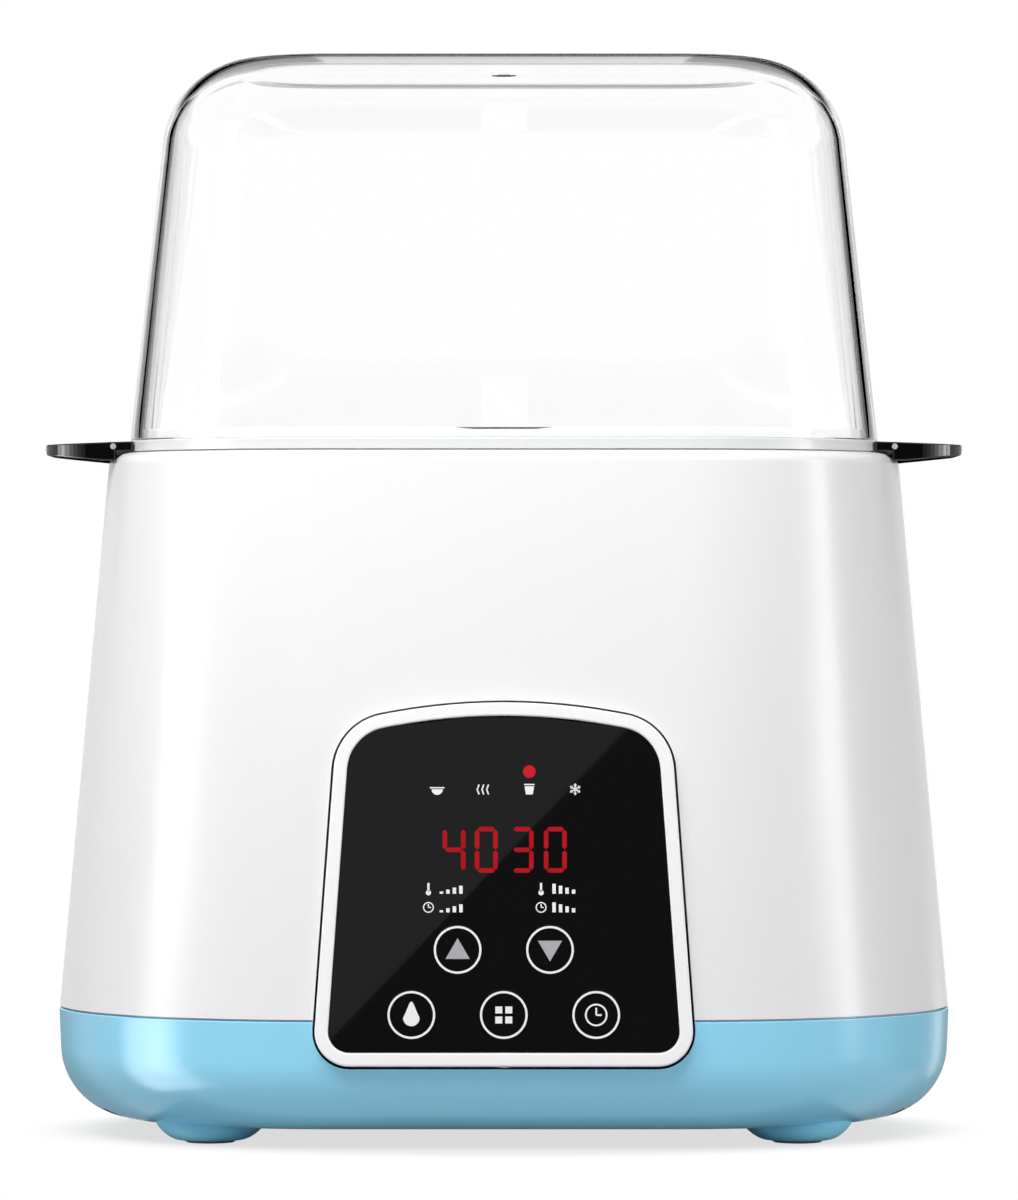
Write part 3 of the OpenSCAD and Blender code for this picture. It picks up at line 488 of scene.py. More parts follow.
# %% Housing
HOUSING = [(63.6, 30.0, 0), (63.6, 30.45, 0), (64.97, 30.5, 0), (53.013, 162.4, 3.0), (46.913, 162.4, 0.3),
           (46.913, 159.9, 0), (42.613, 159.9, 0), (42.613, 157.4, 0), (50.87, 157.4, 0), (62.415, 30.0, 0)]

shell = carry_round(HOUSING, ring=True)
round_edges(shell, HOUSING, ring=True)
shell = cut(shell, panel_window())
piece(shell, "housing_shell", "white_plastic", "unit", ["outer_housing"])

# %% [markdown]
# The base is a shallow bowl in the same plan with a large rounding below. Its floor has vent slots and four
# screw wells, and its back has the seat for the cord gland. Four dished feet stand under it. They are lathe
# work: a quarter of an oval, made a little flatter by a power, is spun right round. The feet lean inward,
# so that the bowl hides their tops, and they are matt where the bowl is glossy.

# %% Base
BASE = [(0, 4.0, 0), (64.115, 4.0, 17.0), (65.115, 30.0, 0.3), (61.843, 30.0, 0), (61.843, 33.0, 0),
        (59.843, 33.0, 0), (59.843, 27.0, 0), (62.215, 24.5, 0), (61.515, 6.6, 14.4), (0, 6.6, 0)]
FOOT_SOLE = 7.4
FOOT_WIDE = 13.8
FOOT_LOW = 0.6
FOOT_TOP = 6.4
FOOT_CURVE = 1.25
FOOT_STEPS = 8
FOOT_LEAN = 6.0
FOOT_X = 69.0
FOOT_Y = 40.0
VENT_COUNT = 9
VENT_PITCH = 7.2
VENT_WIDE = 3.0
VENT_LONG = 24.0
VENT_LOW = 1.0
VENT_HIGH = 9.0
WELL_RADIUS = 3.8
WELL_LOW = -1.0
WELL_HIGH = 22.0
WELL_REACH = 53.115
WELL_ANGLE = math.radians(20)
WELL_X = CORE_X + WELL_REACH * math.cos(WELL_ANGLE)
WELL_Y = CORE_Y + WELL_REACH * math.sin(WELL_ANGLE)
GLAND_Y = 66.1153
GLAND_Z = 17.0
GLAND_RADIUS = 6.8
GLAND_LONG = 20.0
GLAND_SUNK = 4.0
CORNERS = [(sx, sy) for sx in (-1, 1) for sy in (-1, 1)]


def lathe(outline, steps=64):
    bm = bmesh.new()
    verts = [bm.verts.new((r, 0, z)) for r, z in outline]
    row = [bm.edges.new(pair) for pair in zip(verts, verts[1:])]
    bmesh.ops.spin(bm, geom=verts + row, cent=(0, 0, 0), axis=(0, 0, 1), angle=math.radians(360),
                   steps=steps, use_merge=True)
    bmesh.ops.remove_doubles(bm, verts=bm.verts, dist=MERGE)
    bmesh.ops.recalc_face_normals(bm, faces=bm.faces)
    return bm


def foot_outline():
    outline = [(0, FOOT_LOW)]
    for k in range(FOOT_STEPS + 1):
        turn = math.radians(90) * k / FOOT_STEPS
        outline.append((FOOT_SOLE + (FOOT_WIDE - FOOT_SOLE) * math.sin(turn) ** FOOT_CURVE,
                        FOOT_TOP - (FOOT_TOP - FOOT_LOW) * math.cos(turn) ** FOOT_CURVE))
    return outline + [(0, FOOT_TOP)]


def slot_block(width, length, low, high, x):
    bm = rod(width / 2, low, high, (0, 0), 24)
    ends = [v for v in bm.verts if v.co.y > MERGE]
    bmesh.ops.translate(bm, verts=bm.verts, vec=(x, 0, 0))
    bmesh.ops.translate(bm, verts=ends, vec=(0, (length - width) / 2, 0))
    bmesh.ops.translate(bm, verts=[v for v in bm.verts if v not in ends], vec=(0, (width - length) / 2, 0))
    return bm


bowl = carry_round(BASE, ring=False)
round_edges(bowl, BASE, ring=False)
cutter = panel_window()
for i in range(VENT_COUNT):
    x = (i - (VENT_COUNT - 1) / 2) * VENT_PITCH
    merge_in(cutter, slot_block(VENT_WIDE, VENT_LONG, VENT_LOW, VENT_HIGH, x))
for sx, sy in CORNERS:
    merge_in(cutter, rod(WELL_RADIUS, WELL_LOW, WELL_HIGH, (sx * WELL_X, sy * WELL_Y)))
collar_seat = rod(GLAND_RADIUS, 0.0, GLAND_LONG, (0, 0))
bmesh.ops.rotate(collar_seat, verts=collar_seat.verts, cent=(0, 0, 0),
                 matrix=Matrix.Rotation(math.radians(-90), 3, "X"))
bmesh.ops.translate(collar_seat, verts=collar_seat.verts, vec=(0, GLAND_Y - GLAND_SUNK, GLAND_Z))
merge_in(cutter, collar_seat)
bowl = cut(bowl, cutter)
feet = bmesh.new()
for sx, sy in CORNERS:
    foot = lathe(foot_outline())
    for v in foot.verts:
        v.co.y -= sy * FOOT_LEAN * (v.co.z - FOOT_LOW) / (FOOT_TOP - FOOT_LOW)
    bmesh.ops.translate(foot, verts=foot.verts, vec=(sx * FOOT_X, sy * FOOT_Y, 0))
    merge_in(feet, foot)
piece(bowl, "base_bowl", "blue_plastic", "unit", ["base_shell"])
blue_matt = moulded("blue_matt", BLUE, 0.55, drift=0.02, Specular_IOR_Level=0.2)
piece(feet, "base_feet", "blue_plastic", "unit", finish=blue_matt)

# %% [markdown]
# The lid is the same plan again, thin and clear, with a generous rounding at the top. A lid without
# thickness would bend no light, so it has a real inner and outer wall. A slim finger ridge swells out of
# its front and its back near the open edge: a slice of a very large disc, joined on. Its sloping underside
# bends the view up to a black card, so it shows as a thin dark line. The steam vent is a hole in the top.
# Clear plastic lets nearly all light pass, so the lid is told to cast no shadow on what it covers.

# %% Lid
LID = [(0, 255.2, 0), (36.299, 255.2, 20.0), (45.613, 165.4, 0.3), (48.213, 165.4, 0.5),
       (38.078, 257.2, 22.0), (0, 257.2, 0)]
RIDGE_LOW = 167.3
RIDGE_HIGH = 168.1
RIDGE_SLOPE_IN = 0.3
RIDGE_SLOPE_UP = 0.42
RIDGE_RADIUS = 121.0
RIDGE_Y = 66.987
RIDGE_STEPS = 400
RIDGE = [(0, RIDGE_LOW), (RIDGE_RADIUS - RIDGE_SLOPE_IN, RIDGE_LOW),
         (RIDGE_RADIUS, RIDGE_LOW + RIDGE_SLOPE_UP), (RIDGE_RADIUS, RIDGE_HIGH), (0, RIDGE_HIGH)]
LID_INSIDE = 52.5
STEAM_RADIUS = 3.0
STEAM_LOW = 250.0
STEAM_HIGH = 262.0

dome = carry_round(LID, ring=False)
round_edges(dome, LID, ring=False)
for side in (-1, 1):
    ridge = lathe(RIDGE, RIDGE_STEPS)
    bmesh.ops.translate(ridge, verts=ridge.verts, vec=(0, -side * RIDGE_Y, 0))
    bmesh.ops.bisect_plane(ridge, geom=ridge.verts[:] + ridge.edges[:] + ridge.faces[:], dist=0.0001,
                           plane_co=(0, side * LID_INSIDE, 0), plane_no=(0, -side, 0), clear_outer=True)
    bmesh.ops.holes_fill(ridge, edges=[e for e in ridge.edges if e.is_boundary], sides=0)
    bmesh.ops.recalc_face_normals(ridge, faces=ridge.faces)
    dome = cut(dome, ridge, "UNION")
dome = cut(dome, rod(STEAM_RADIUS, STEAM_LOW, STEAM_HIGH, (0, 0)))
lid = piece(dome, "lid_shell", "clear_plastic", "lid", ["lid_dome"])
lid.visible_shadow = False

# %% [markdown]
# The rim of the basket is the pale band between housing and lid. It has a low rib that centres the lid, a
# short skirt that centres it in the tank, and two tabs that the ears are pushed on. The tabs are plain
# blocks with softened edges.

# %% Basket rim
RIM = [(36.3, 162.4, 0), (38.313, 162.4, 0), (38.313, 160.4, 0), (39.971, 160.4, 0), (39.042, 162.4, 0),
       (47.813, 162.4, 0), (48.213, 162.8, 0), (49.013, 162.8, 0), (49.013, 165.4, 0.5), (45.313, 165.4, 0),
       (45.313, 167.8, 0.4), (44.113, 167.8, 0.4), (44.113, 165.4, 0), (38.8, 165.4, 0), (38.8, 164.0, 0),
       (36.3, 164.0, 0)]
TAB_INNER = 89.313
TAB_OUTER = 95.013
TAB_WIDE = 28.0
TAB_HIGH = 2.5
TAB_Z = 163.95
TAB_EDGE = 0.25

band = carry_round(RIM, ring=True)
round_edges(band, RIM, ring=True)
for side in (-1, 1):
    tab = block(TAB_OUTER - TAB_INNER, TAB_WIDE, TAB_HIGH)
    bmesh.ops.bevel(tab, geom=tab.edges[:], offset=TAB_EDGE, affect="EDGES", segments=2, profile=0.5,
                    material=-1)
    bmesh.ops.translate(tab, verts=tab.verts, vec=(side * (TAB_INNER + TAB_OUTER) / 2, 0, TAB_Z))
    merge_in(band, tab)
piece(band, "rim_band", "frosted_plastic", "basket", ["basket_rim"])

# %% [markdown]
# The ears are the two black grips. Seen from above each is a plate that narrows to a rounded tip. Seen from
# the front it is thin at the root, hooks down just outside the housing's edge, and thins again to the tip.
# Both views are drawn as flat outlines with rounded corners and pushed through each other, and a Boolean
# keeps what they share. The root is cut back along the curves of rim and housing, so the ear hugs both. A
# notch takes the tab, a cross hole takes the pin, and bevelled edges catch the light.

# %% Ears
EAR_PLAN = [(86.513, -22.0, 0), (98.013, -22.0, 28.0), (109.813, -15.0, 9.0), (109.813, 15.0, 9.0),
            (98.013, 22.0, 28.0), (86.513, 22.0, 0)]
EAR_SIDE = [(86.513, 160.6, 0), (95.413, 160.6, 0), (109.213, 161.9, 0.6), (109.813, 163.3, 0.5),
            (109.313, 164.5, 0.5), (86.513, 165.2, 0)]
EAR_SEAT = [(36.0, 159.0, 0), (53.513, 159.0, 0), (53.513, 162.7, 0), (49.313, 162.7, 0), (49.313, 166.2, 0),
            (36.0, 166.2, 0)]
EAR_REACH = 30.0
EAR_LOW = 158.0
EAR_BLANK = 10.0
EAR_EDGE = 0.3
EAR_CREASE = 0.7
EAR_FLAT = 0.01
NOTCH_END = TAB_OUTER + 0.1
NOTCH_START = 88.0
NOTCH_WIDE = TAB_WIDE + 0.2
NOTCH_HIGH = 10.0
NOTCH_Z = 164.0
PIN_PLACE = (92.963, 0, TAB_Z)
PIN_HOLE = 0.75
ACROSS = Matrix.Rotation(math.radians(90), 4, "X")


def ear_block():
    plan = bmesh.new()
    thicken(plan, rounded_face(plan, EAR_PLAN, EAR_LOW), EAR_BLANK)
    side_view = bmesh.new()
    thicken(side_view, rounded_face(side_view, EAR_SIDE, -EAR_REACH), 2 * EAR_REACH)
    bmesh.ops.transform(side_view, matrix=ACROSS, verts=side_view.verts)
    bm = cut(cut(plan, side_view, "INTERSECT"), carry_round(EAR_SEAT, ring=True))
    notch = block(NOTCH_END - NOTCH_START, NOTCH_WIDE, NOTCH_HIGH)
    bmesh.ops.translate(notch, verts=notch.verts, vec=((NOTCH_START + NOTCH_END) / 2, 0, NOTCH_Z))
    bm = cut(bm, notch)
    bmesh.ops.remove_doubles(bm, verts=bm.verts, dist=NEAR)
    bmesh.ops.dissolve_limit(bm, angle_limit=EAR_FLAT, verts=bm.verts, edges=bm.edges)
    creases = [e for e in bm.edges if e.calc_face_angle(0) > EAR_CREASE]
    bmesh.ops.bevel(bm, geom=creases, offset=EAR_EDGE, affect="EDGES", segments=3, profile=0.5, material=-1)
    hole = rod(PIN_HOLE, -EAR_REACH, EAR_REACH, (0, 0), 32)
    bmesh.ops.transform(hole, matrix=Matrix.Translation(PIN_PLACE) @ ACROSS, verts=hole.verts)
    return cut(bm, hole)


for side, name in ((1, "right_ear"), (-1, "left_ear")):
    grip = ear_block()
    bmesh.ops.scale(grip, vec=(side, 1, 1), verts=grip.verts)
    bmesh.ops.recalc_face_normals(grip, faces=grip.faces)
    piece(grip, name + "_grip", "black_gloss", "basket", [name])

# %% [markdown]
# The bezel is the white frame round the panel. The flat outline is inset by the width of the frame, the
# middle is thrown away, and what is left is thickened. Its front edges, inside and outside, are rounded so
# that they catch a thin line of light.

# %% Bezel
FRAME_WIDE = 3.1
BEZEL_FACE = 2.2
BEZEL_BACK = -7.0
BEZEL_EDGE = 0.5
BEZEL_CREASE = 1.0
BEZEL_NEAR = 0.01

frame_bm = bmesh.new()
whole = rounded_face(frame_bm, PANEL_POINTS, BEZEL_BACK)
ring_faces = bmesh.ops.inset_region(frame_bm, faces=whole, thickness=FRAME_WIDE, use_even_offset=True,
                                    use_boundary=True)["faces"]
bmesh.ops.delete(frame_bm, geom=[f for f in frame_bm.faces if f not in ring_faces], context="FACES")
thicken(frame_bm, ring_faces, BEZEL_FACE - BEZEL_BACK)
front = [e for e in frame_bm.edges
         if all(v.co.z > BEZEL_FACE - BEZEL_NEAR for v in e.verts) and e.calc_face_angle(0) > BEZEL_CREASE]
bmesh.ops.bevel(frame_bm, geom=front, offset=BEZEL_EDGE, affect="EDGES", segments=5, profile=0.5,
                material=-1)
bezel_white = moulded("bezel_white", (0.98, 0.98, 0.985), 0.24, drift=0.01, wander=0.02)
piece(stand_up(frame_bm), "bezel_frame", "white_plastic", "unit", ["panel_bezel"], bezel_white)

# %% [markdown]
# Printing on the panel is thin white ink. Each sign is a flat shape made of bars, discs and rings, lifted
# by a few hundredths of a millimetre so that it lies on the face. Plain signs tell what each place is for:
# a bowl, steam, a cup and a snowflake for the programmes, a drop for warming, four squares for the
# function, a clock for the timer.

# %% Shapes for signs
LENS_FACE = 1.8
KEY_FACE = 1.9
INK = 0.03
INK_ROOT = 0.06


def add_shape(bm, points):
    bm.faces.new([bm.verts.new((u, v, 0)) for u, v in points])


def add_bar(bm, u, v, length, width, angle=0.0):
    turn = Matrix.Rotation(math.radians(angle), 2)
    corners = [(-length / 2, -width / 2), (length / 2, -width / 2), (length / 2, width / 2),
               (-length / 2, width / 2)]
    add_shape(bm, [turn @ Vector(c) + Vector((u, v)) for c in corners])


def add_disc(bm, u, v, radius, steps=40):
    bmesh.ops.create_circle(bm, cap_ends=True, segments=steps, radius=radius,
                            matrix=Matrix.Translation((u, v, 0)))


def add_ring(bm, u, v, radius, width, steps=64):
    made = bmesh.ops.create_circle(bm, cap_ends=True, segments=steps, radius=radius,
                                   matrix=Matrix.Translation((u, v, 0)))["verts"]
    disc = made[0].link_faces[0]
    bmesh.ops.inset_region(bm, faces=[disc], thickness=width, use_even_offset=True, use_boundary=True)
    bmesh.ops.delete(bm, geom=[disc], context="FACES")


def print_on_panel(bm, name, finish, slot_name, body, face, root=INK_ROOT):
    bmesh.ops.translate(bm, verts=bm.verts, vec=(0, 0, face - root))
    thicken(bm, bm.faces[:], root + INK)
    piece(stand_up(bm), name, slot_name, body, finish=finish, weighted=False)


ink_white = moulded("ink_white", (0.92, 0.925, 0.93), 0.45, drift=0.03)
ink_grey = moulded("ink_grey", (0.42, 0.43, 0.44), 0.45, drift=0.05)
print("ink stands", INK, "mm proud")

# %% [markdown]
# Each key carries its own sign, because it is pressed in with the key. A white ring runs round its edge.

# %% Signs on the keys
KEYS = {"up": (-10.65, -15.2), "down": (10.65, -15.2), "warm": (-21.3, -30.2), "function": (0.0, -30.2),
        "timer": (21.3, -30.2)}
RING_RADIUS = 5.5
RING_WIDE = 0.5
RING_ROOT = 0.3
ARROW_HALF = 2.8
ARROW_FOOT = 2.1
ARROW_TIP = 2.7
DROP_RADIUS = 1.9
DROP_DOWN = 0.7
DROP_PINCH = 0.35
SQUARE_PLACE = 1.15
SQUARE_WIDE = 1.6


def arrow(bm, u, v, way):
    foot = v - ARROW_FOOT * way
    add_shape(bm, [(u - ARROW_HALF, foot), (u + ARROW_HALF, foot), (u, v + ARROW_TIP * way)][::way])


def drop(bm, u, v):
    made = bmesh.ops.create_circle(bm, cap_ends=True, segments=36, radius=DROP_RADIUS,
                                   matrix=Matrix.Translation((u, v - DROP_DOWN, 0)))["verts"]
    for vert in made:
        up = max(vert.co.y - v + DROP_DOWN, 0) / DROP_RADIUS
        vert.co.y += DROP_RADIUS * up ** 3
        vert.co.x = u + (vert.co.x - u) * (1 - DROP_PINCH * up)


def squares(bm, u, v):
    for du, dv in CORNERS:
        add_bar(bm, u + SQUARE_PLACE * du, v + SQUARE_PLACE * dv, SQUARE_WIDE, SQUARE_WIDE)


def clock(bm, u, v, size=2.6, line=0.4):
    add_ring(bm, u, v, size, line)
    add_bar(bm, u, v + size * 0.32, line, size * 0.64)
    add_bar(bm, u + size * 0.24, v - 0.02, size * 0.48, line)


SIGNS = {"warm": drop, "function": squares, "timer": clock}
for key, (u, v) in KEYS.items():
    ring = bmesh.new()
    add_ring(ring, u, v, RING_RADIUS, RING_WIDE)
    print_on_panel(ring, "ring_" + key, ink_white, "white_plastic", "key_" + key, KEY_FACE, root=RING_ROOT)
    sign = bmesh.new()
    if key in SIGNS:
        SIGNS[key](sign, u, v)
    else:
        arrow(sign, u, v, 1 if key == "up" else -1)
    ink = ink_white if key in SIGNS else ink_grey
    print_on_panel(sign, "sign_" + key, ink, "white_plastic", "key_" + key, KEY_FACE)

# %% [markdown]
# The row under the lamps names the four programmes. Two short rows under the display say what the numbers
# mean: a thermometer and a clock, each with four level bars, which rise on the left for what was set and
# fall on the right for what is left.

# %% Signs on the lens
PROGRAMME_V = 21.9
PROGRAMMES = (-15.4, -4.7, 5.9, 16.5)
CAPTION_V = (-1.1, -5.4)
CAPTION_U = (-17.4, 8.6)
CAPTION_CLOCK = (1.25, 0.26)
SIGN_LINE = 0.3
LEVEL_LEAST = 0.5
LEVEL_MOST = 2.3
LEVEL_STEP = 0.45
LEVEL_START = 3.0
LEVEL_PITCH = 1.5
LEVEL_WIDE = 0.8
LEVEL_DOWN = 1.15


def bowl_sign(bm, u, v):
    made = bmesh.ops.create_circle(bm, cap_ends=True, segments=32, radius=1.3,
                                   matrix=Matrix.Translation((u, v, 0)))
    upper = [vert for vert in made["verts"] if vert.co.y > v]
    for vert in upper:
        vert.co.y = v
    add_bar(bm, u, v + 0.35, 3.4, SIGN_LINE)


def steam_sign(bm, u, v):
    for du in (-1.1, 0, 1.1):
        add_bar(bm, u + du - 0.15, v + 0.5, 1.3, 0.32, 70)
        add_bar(bm, u + du - 0.15, v - 0.6, 1.3, 0.32, 110)


def cup_sign(bm, u, v):
    add_shape(bm, [(u - 0.8, v - 1.2), (u + 0.8, v - 1.2), (u + 1.1, v + 0.7), (u - 1.1, v + 0.7)])
    add_bar(bm, u, v + 1.1, 2.4, SIGN_LINE)


def snow_sign(bm, u, v):
    for angle in (30, 90, 150):
        add_bar(bm, u, v, 2.7, SIGN_LINE, angle)
    for angle in range(30, 390, 60):
        tip = Matrix.Rotation(math.radians(angle), 2) @ Vector((0.95, 0))
        add_bar(bm, u + tip.x, v + tip.y, 0.7, 0.24, angle + 90)


def thermometer(bm, u, v):
    add_bar(bm, u, v + 0.35, 0.5, 2.0)
    add_disc(bm, u, v - 0.9, 0.62, 24)


programme_bm = bmesh.new()
for u, draw in zip(PROGRAMMES, (bowl_sign, steam_sign, cup_sign, snow_sign)):
    draw(programme_bm, u, PROGRAMME_V)
print_on_panel(programme_bm, "programme_signs", ink_white, "white_plastic", "unit", LENS_FACE)

caption_bm = bmesh.new()
for column, u in enumerate(CAPTION_U):
    thermometer(caption_bm, u, CAPTION_V[0])
    clock(caption_bm, u, CAPTION_V[1], *CAPTION_CLOCK)
    for v in CAPTION_V:
        for step in range(4):
            level = LEVEL_LEAST + LEVEL_STEP * step if column == 0 else LEVEL_MOST - LEVEL_STEP * step
            add_bar(caption_bm, u + LEVEL_START + LEVEL_PITCH * step, v - LEVEL_DOWN + level / 2, LEVEL_WIDE,
                    level)
print_on_panel(caption_bm, "caption_signs", ink_white, "white_plastic", "unit", LENS_FACE)

# %% [markdown]
# The display shows four red digits. Each has seven bars with pointed ends, the classic pattern, and only
# the lit bars are drawn. They glow, so their finish is an emission shader. Noise makes the light a little
# uneven, as it is in a real display.

# %% Display and lamp
DIGIT_HIGH = 10.6
DIGIT_WIDE = 5.3
BAR_WIDE = 1.05
BAR_GAP = 0.12
DIGIT_V = 7.9
DIGITS = [("4", -11.5), ("0", -4.05), ("3", 4.25), ("0", 11.9)]
LIT = {"0": "abcdef", "3": "abcdg", "4": "bcfg"}
LAMP_PLACE = (PROGRAMMES[2], 26.0)
LAMP_RADIUS = 1.45
GLOW_SCALE = 300.0
HALF_W = (DIGIT_WIDE - BAR_WIDE) / 2
HALF_H = (DIGIT_HIGH - BAR_WIDE) / 2
BARS = {"a": (0, HALF_H, 0), "g": (0, 0, 0), "d": (0, -HALF_H, 0), "f": (-HALF_W, HALF_H / 2, 90),
        "b": (HALF_W, HALF_H / 2, 90), "e": (-HALF_W, -HALF_H / 2, 90), "c": (HALF_W, -HALF_H / 2, 90)}


def glow(name, dim, bright):
    finish, tree, shader, place = node_tree(name)
    shader.inputs["Base Color"].default_value = (0.02, 0.0, 0.0, 1)
    shader.inputs["Specular IOR Level"].default_value = 0.0
    shader.inputs["Emission Strength"].default_value = 1.0
    light = two_tones(tree, noise(tree, place, GLOW_SCALE), dim, bright)
    tree.links.new(light, shader.inputs["Emission Color"])
    return finish


def digit_bar(bm, u, v, length, angle):
    half = length / 2 - BAR_GAP
    tip = BAR_WIDE / 2
    points = [(-half, 0), (-half + tip, -tip), (half - tip, -tip), (half, 0), (half - tip, tip),
              (-half + tip, tip)]
    turn = Matrix.Rotation(math.radians(angle), 2)
    add_shape(bm, [turn @ Vector(p) + Vector((u, v)) for p in points])


red = glow("display_red", (0.38, 0.008, 0.014), (0.48, 0.012, 0.020))
digit_bm = bmesh.new()
for figure, u in DIGITS:
    for bar in LIT[figure]:
        du, dv, angle = BARS[bar]
        digit_bar(digit_bm, u + du, DIGIT_V + dv, 2 * HALF_W if angle == 0 else HALF_H, angle)
print_on_panel(digit_bm, "display_digits", red, "lamp", "unit", LENS_FACE)

lamp_bm = bmesh.new()
add_disc(lamp_bm, *LAMP_PLACE, LAMP_RADIUS)
lamp_red = glow("lamp_red", (0.52, 0.014, 0.022), (0.64, 0.022, 0.032))
print_on_panel(lamp_bm, "lit_lamp", lamp_red, "lamp", "unit", LENS_FACE)

# %% [markdown]
# The basket and the tank have holes and slots that CAD cut exactly, so their shape is taken over. A CAD
# mesh is loose triangles with a crease at every face, so a copy is merged before it is shaded smooth. Then
# the small roundings, which CAD made from flat strips, look round.

# %% Smooth copies of the basket and the tank


def smooth_copy(node_name, name, slot_name, body):
    bm = bmesh.new()
    bm.from_mesh(nodes[node_name].data)
    for layer in list(bm.loops.layers.float_vector):
        bm.loops.layers.float_vector.remove(layer)
    bmesh.ops.remove_doubles(bm, verts=bm.verts, dist=MERGE * MM)
    bmesh.ops.scale(bm, vec=(1 / MM, 1 / MM, 1 / MM), verts=bm.verts)
    obj = piece(bm, name, slot_name, body, [node_name])
    normals = obj.data.attributes.get("custom_normal")
    if normals:
        obj.data.attributes.remove(normals)
        obj.data.set_sharp_from_angle(angle=SHARP)


smooth_copy("basket", "basket_tub", "frosted_plastic", "basket")
smooth_copy("water_tank", "tank_tub", "tank_plastic", "unit")

# %% [markdown]
# The stage is a pale floor under a white world. The floor takes the object's shadow near its feet, and
# further out it fades into plain white, so no horizon shows. World and floor are white to the camera, to
# reflections and to light that comes through the lid. The light on the object itself stays at a plain
# level.

# %% Floor and world
FLOOR_REACH = (0.105, 0.080)
FLOOR_NEAR = 0.88
FLOOR_FAR = 1.12
FLOOR_WHITE = 0.7
FLOOR_GREY = 0.50
FLOOR_ROUGH = 0.8
FLOOR_RADIUS = 30.0
FLOOR_DROP = 0.0001
WORLD_LIGHT = 0.26


def seen_rays(tree):
    rays = tree.nodes.new("ShaderNodeLightPath")
    seen = rays.outputs["Is Camera Ray"]
    for kind in ("Is Glossy Ray", "Is Transmission Ray"):
        either = tree.nodes.new("ShaderNodeMath")
        either.operation = "MAXIMUM"
        tree.links.new(seen, either.inputs[0])
        tree.links.new(rays.outputs[kind], either.inputs[1])
        seen = either.outputs["Value"]
    return seen


floor_bm = bmesh.new()
bmesh.ops.create_circle(floor_bm, cap_ends=True, segments=96, radius=FLOOR_RADIUS)
bmesh.ops.translate(floor_bm, verts=floor_bm.verts, vec=(0, 0, -FLOOR_DROP))
floor_mesh = bpy.data.meshes.new("floor")
floor_bm.to_mesh(floor_mesh)
floor_bm.free()
floor = bpy.data.objects.new("floor", floor_mesh)
floor.visible_glossy = False
scene.collection.objects.link(floor)

floor_finish, tree, shader, place = node_tree("floor_white")
shader.inputs["Base Color"].default_value = (FLOOR_GREY, FLOOR_GREY, FLOOR_GREY, 1)
shader.inputs["Roughness"].default_value = FLOOR_ROUGH
reach = tree.nodes.new("ShaderNodeMapping")
reach.inputs["Scale"].default_value = (1 / FLOOR_REACH[0], 1 / FLOOR_REACH[1], 1)
tree.links.new(place, reach.inputs["Vector"])
distance = tree.nodes.new("ShaderNodeVectorMath")
distance.operation = "LENGTH"
tree.links.new(reach.outputs["Vector"], distance.inputs[0])
fade = tree.nodes.new("ShaderNodeMapRange")
fade.interpolation_type = "SMOOTHSTEP"
fade.inputs["From Min"].default_value = FLOOR_NEAR
fade.inputs["From Max"].default_value = FLOOR_FAR
fade.inputs["To Min"].default_value = FLOOR_WHITE
tree.links.new(distance.outputs["Value"], fade.inputs["Value"])
white = tree.nodes.new("ShaderNodeEmission")
shown = tree.nodes.new("ShaderNodeMath")
shown.operation = "MULTIPLY"
tree.links.new(fade.outputs["Result"], shown.inputs[0])
tree.links.new(seen_rays(tree), shown.inputs[1])
blend = tree.nodes.new("ShaderNodeMixShader")
tree.links.new(shown.outputs["Value"], blend.inputs["Fac"])
tree.links.new(shader.outputs["BSDF"], blend.inputs[1])
tree.links.new(white.outputs["Emission"], blend.inputs[2])
tree.links.new(blend.outputs["Shader"], tree.nodes["Material Output"].inputs["Surface"])
floor_mesh.materials.append(floor_finish)

world = bpy.data.worlds.new("studio")
world.use_nodes = True
scene.world = world
tree = world.node_tree
level = tree.nodes.new("ShaderNodeMapRange")
level.inputs["To Min"].default_value = WORLD_LIGHT
level.inputs["To Max"].default_value = 1.0
tree.links.new(seen_rays(tree), level.inputs["Value"])
tree.links.new(level.outputs["Result"], tree.nodes["Background"].inputs["Strength"])
tree.nodes["Background"].inputs["Color"].default_value = (1, 1, 1, 1)
print("floor fades to white within", [round(FLOOR_FAR * c, 3) for c in FLOOR_REACH], "m")

# %% [markdown]
# Light comes from large soft boxes: one high in front, a tall one on each side that draws a bright upright
# strip on the rounded ends of the housing, and a wide one low on the left that does the same for the base.

# %% Soft boxes


def soft_box(name, place, aim, width, height, power, mirrored=True, spread_out=True):
    data = bpy.data.lights.new(name, "AREA")
    data.shape = "RECTANGLE"
    data.size = width
    data.size_y = height
    data.energy = power
    box = bpy.data.objects.new(name, data)
    box.location = place
    box.rotation_euler = (Vector(aim) - Vector(place)).to_track_quat("-Z", "Y").to_euler()
    box.visible_diffuse = spread_out
    box.visible_glossy = mirrored
    box.visible_transmission = mirrored
    scene.collection.objects.link(box)


MIDDLE = (0.0, 0.0, 0.12)
soft_box("front_box", (-0.20, -0.40, 0.60), MIDDLE, 0.7, 0.4, 4.8, mirrored=False)
soft_box("left_strip", (-1.3, -0.33, 0.15), MIDDLE, 0.25, 1.4, 5.6, spread_out=False)
soft_box("right_strip", (1.3, -0.33, 0.35), MIDDLE, 0.22, 1.0, 4.8)
soft_box("low_strip", (-1.3, -0.24, -0.50), MIDDLE, 0.75, 1.0, 24.0, spread_out=False)
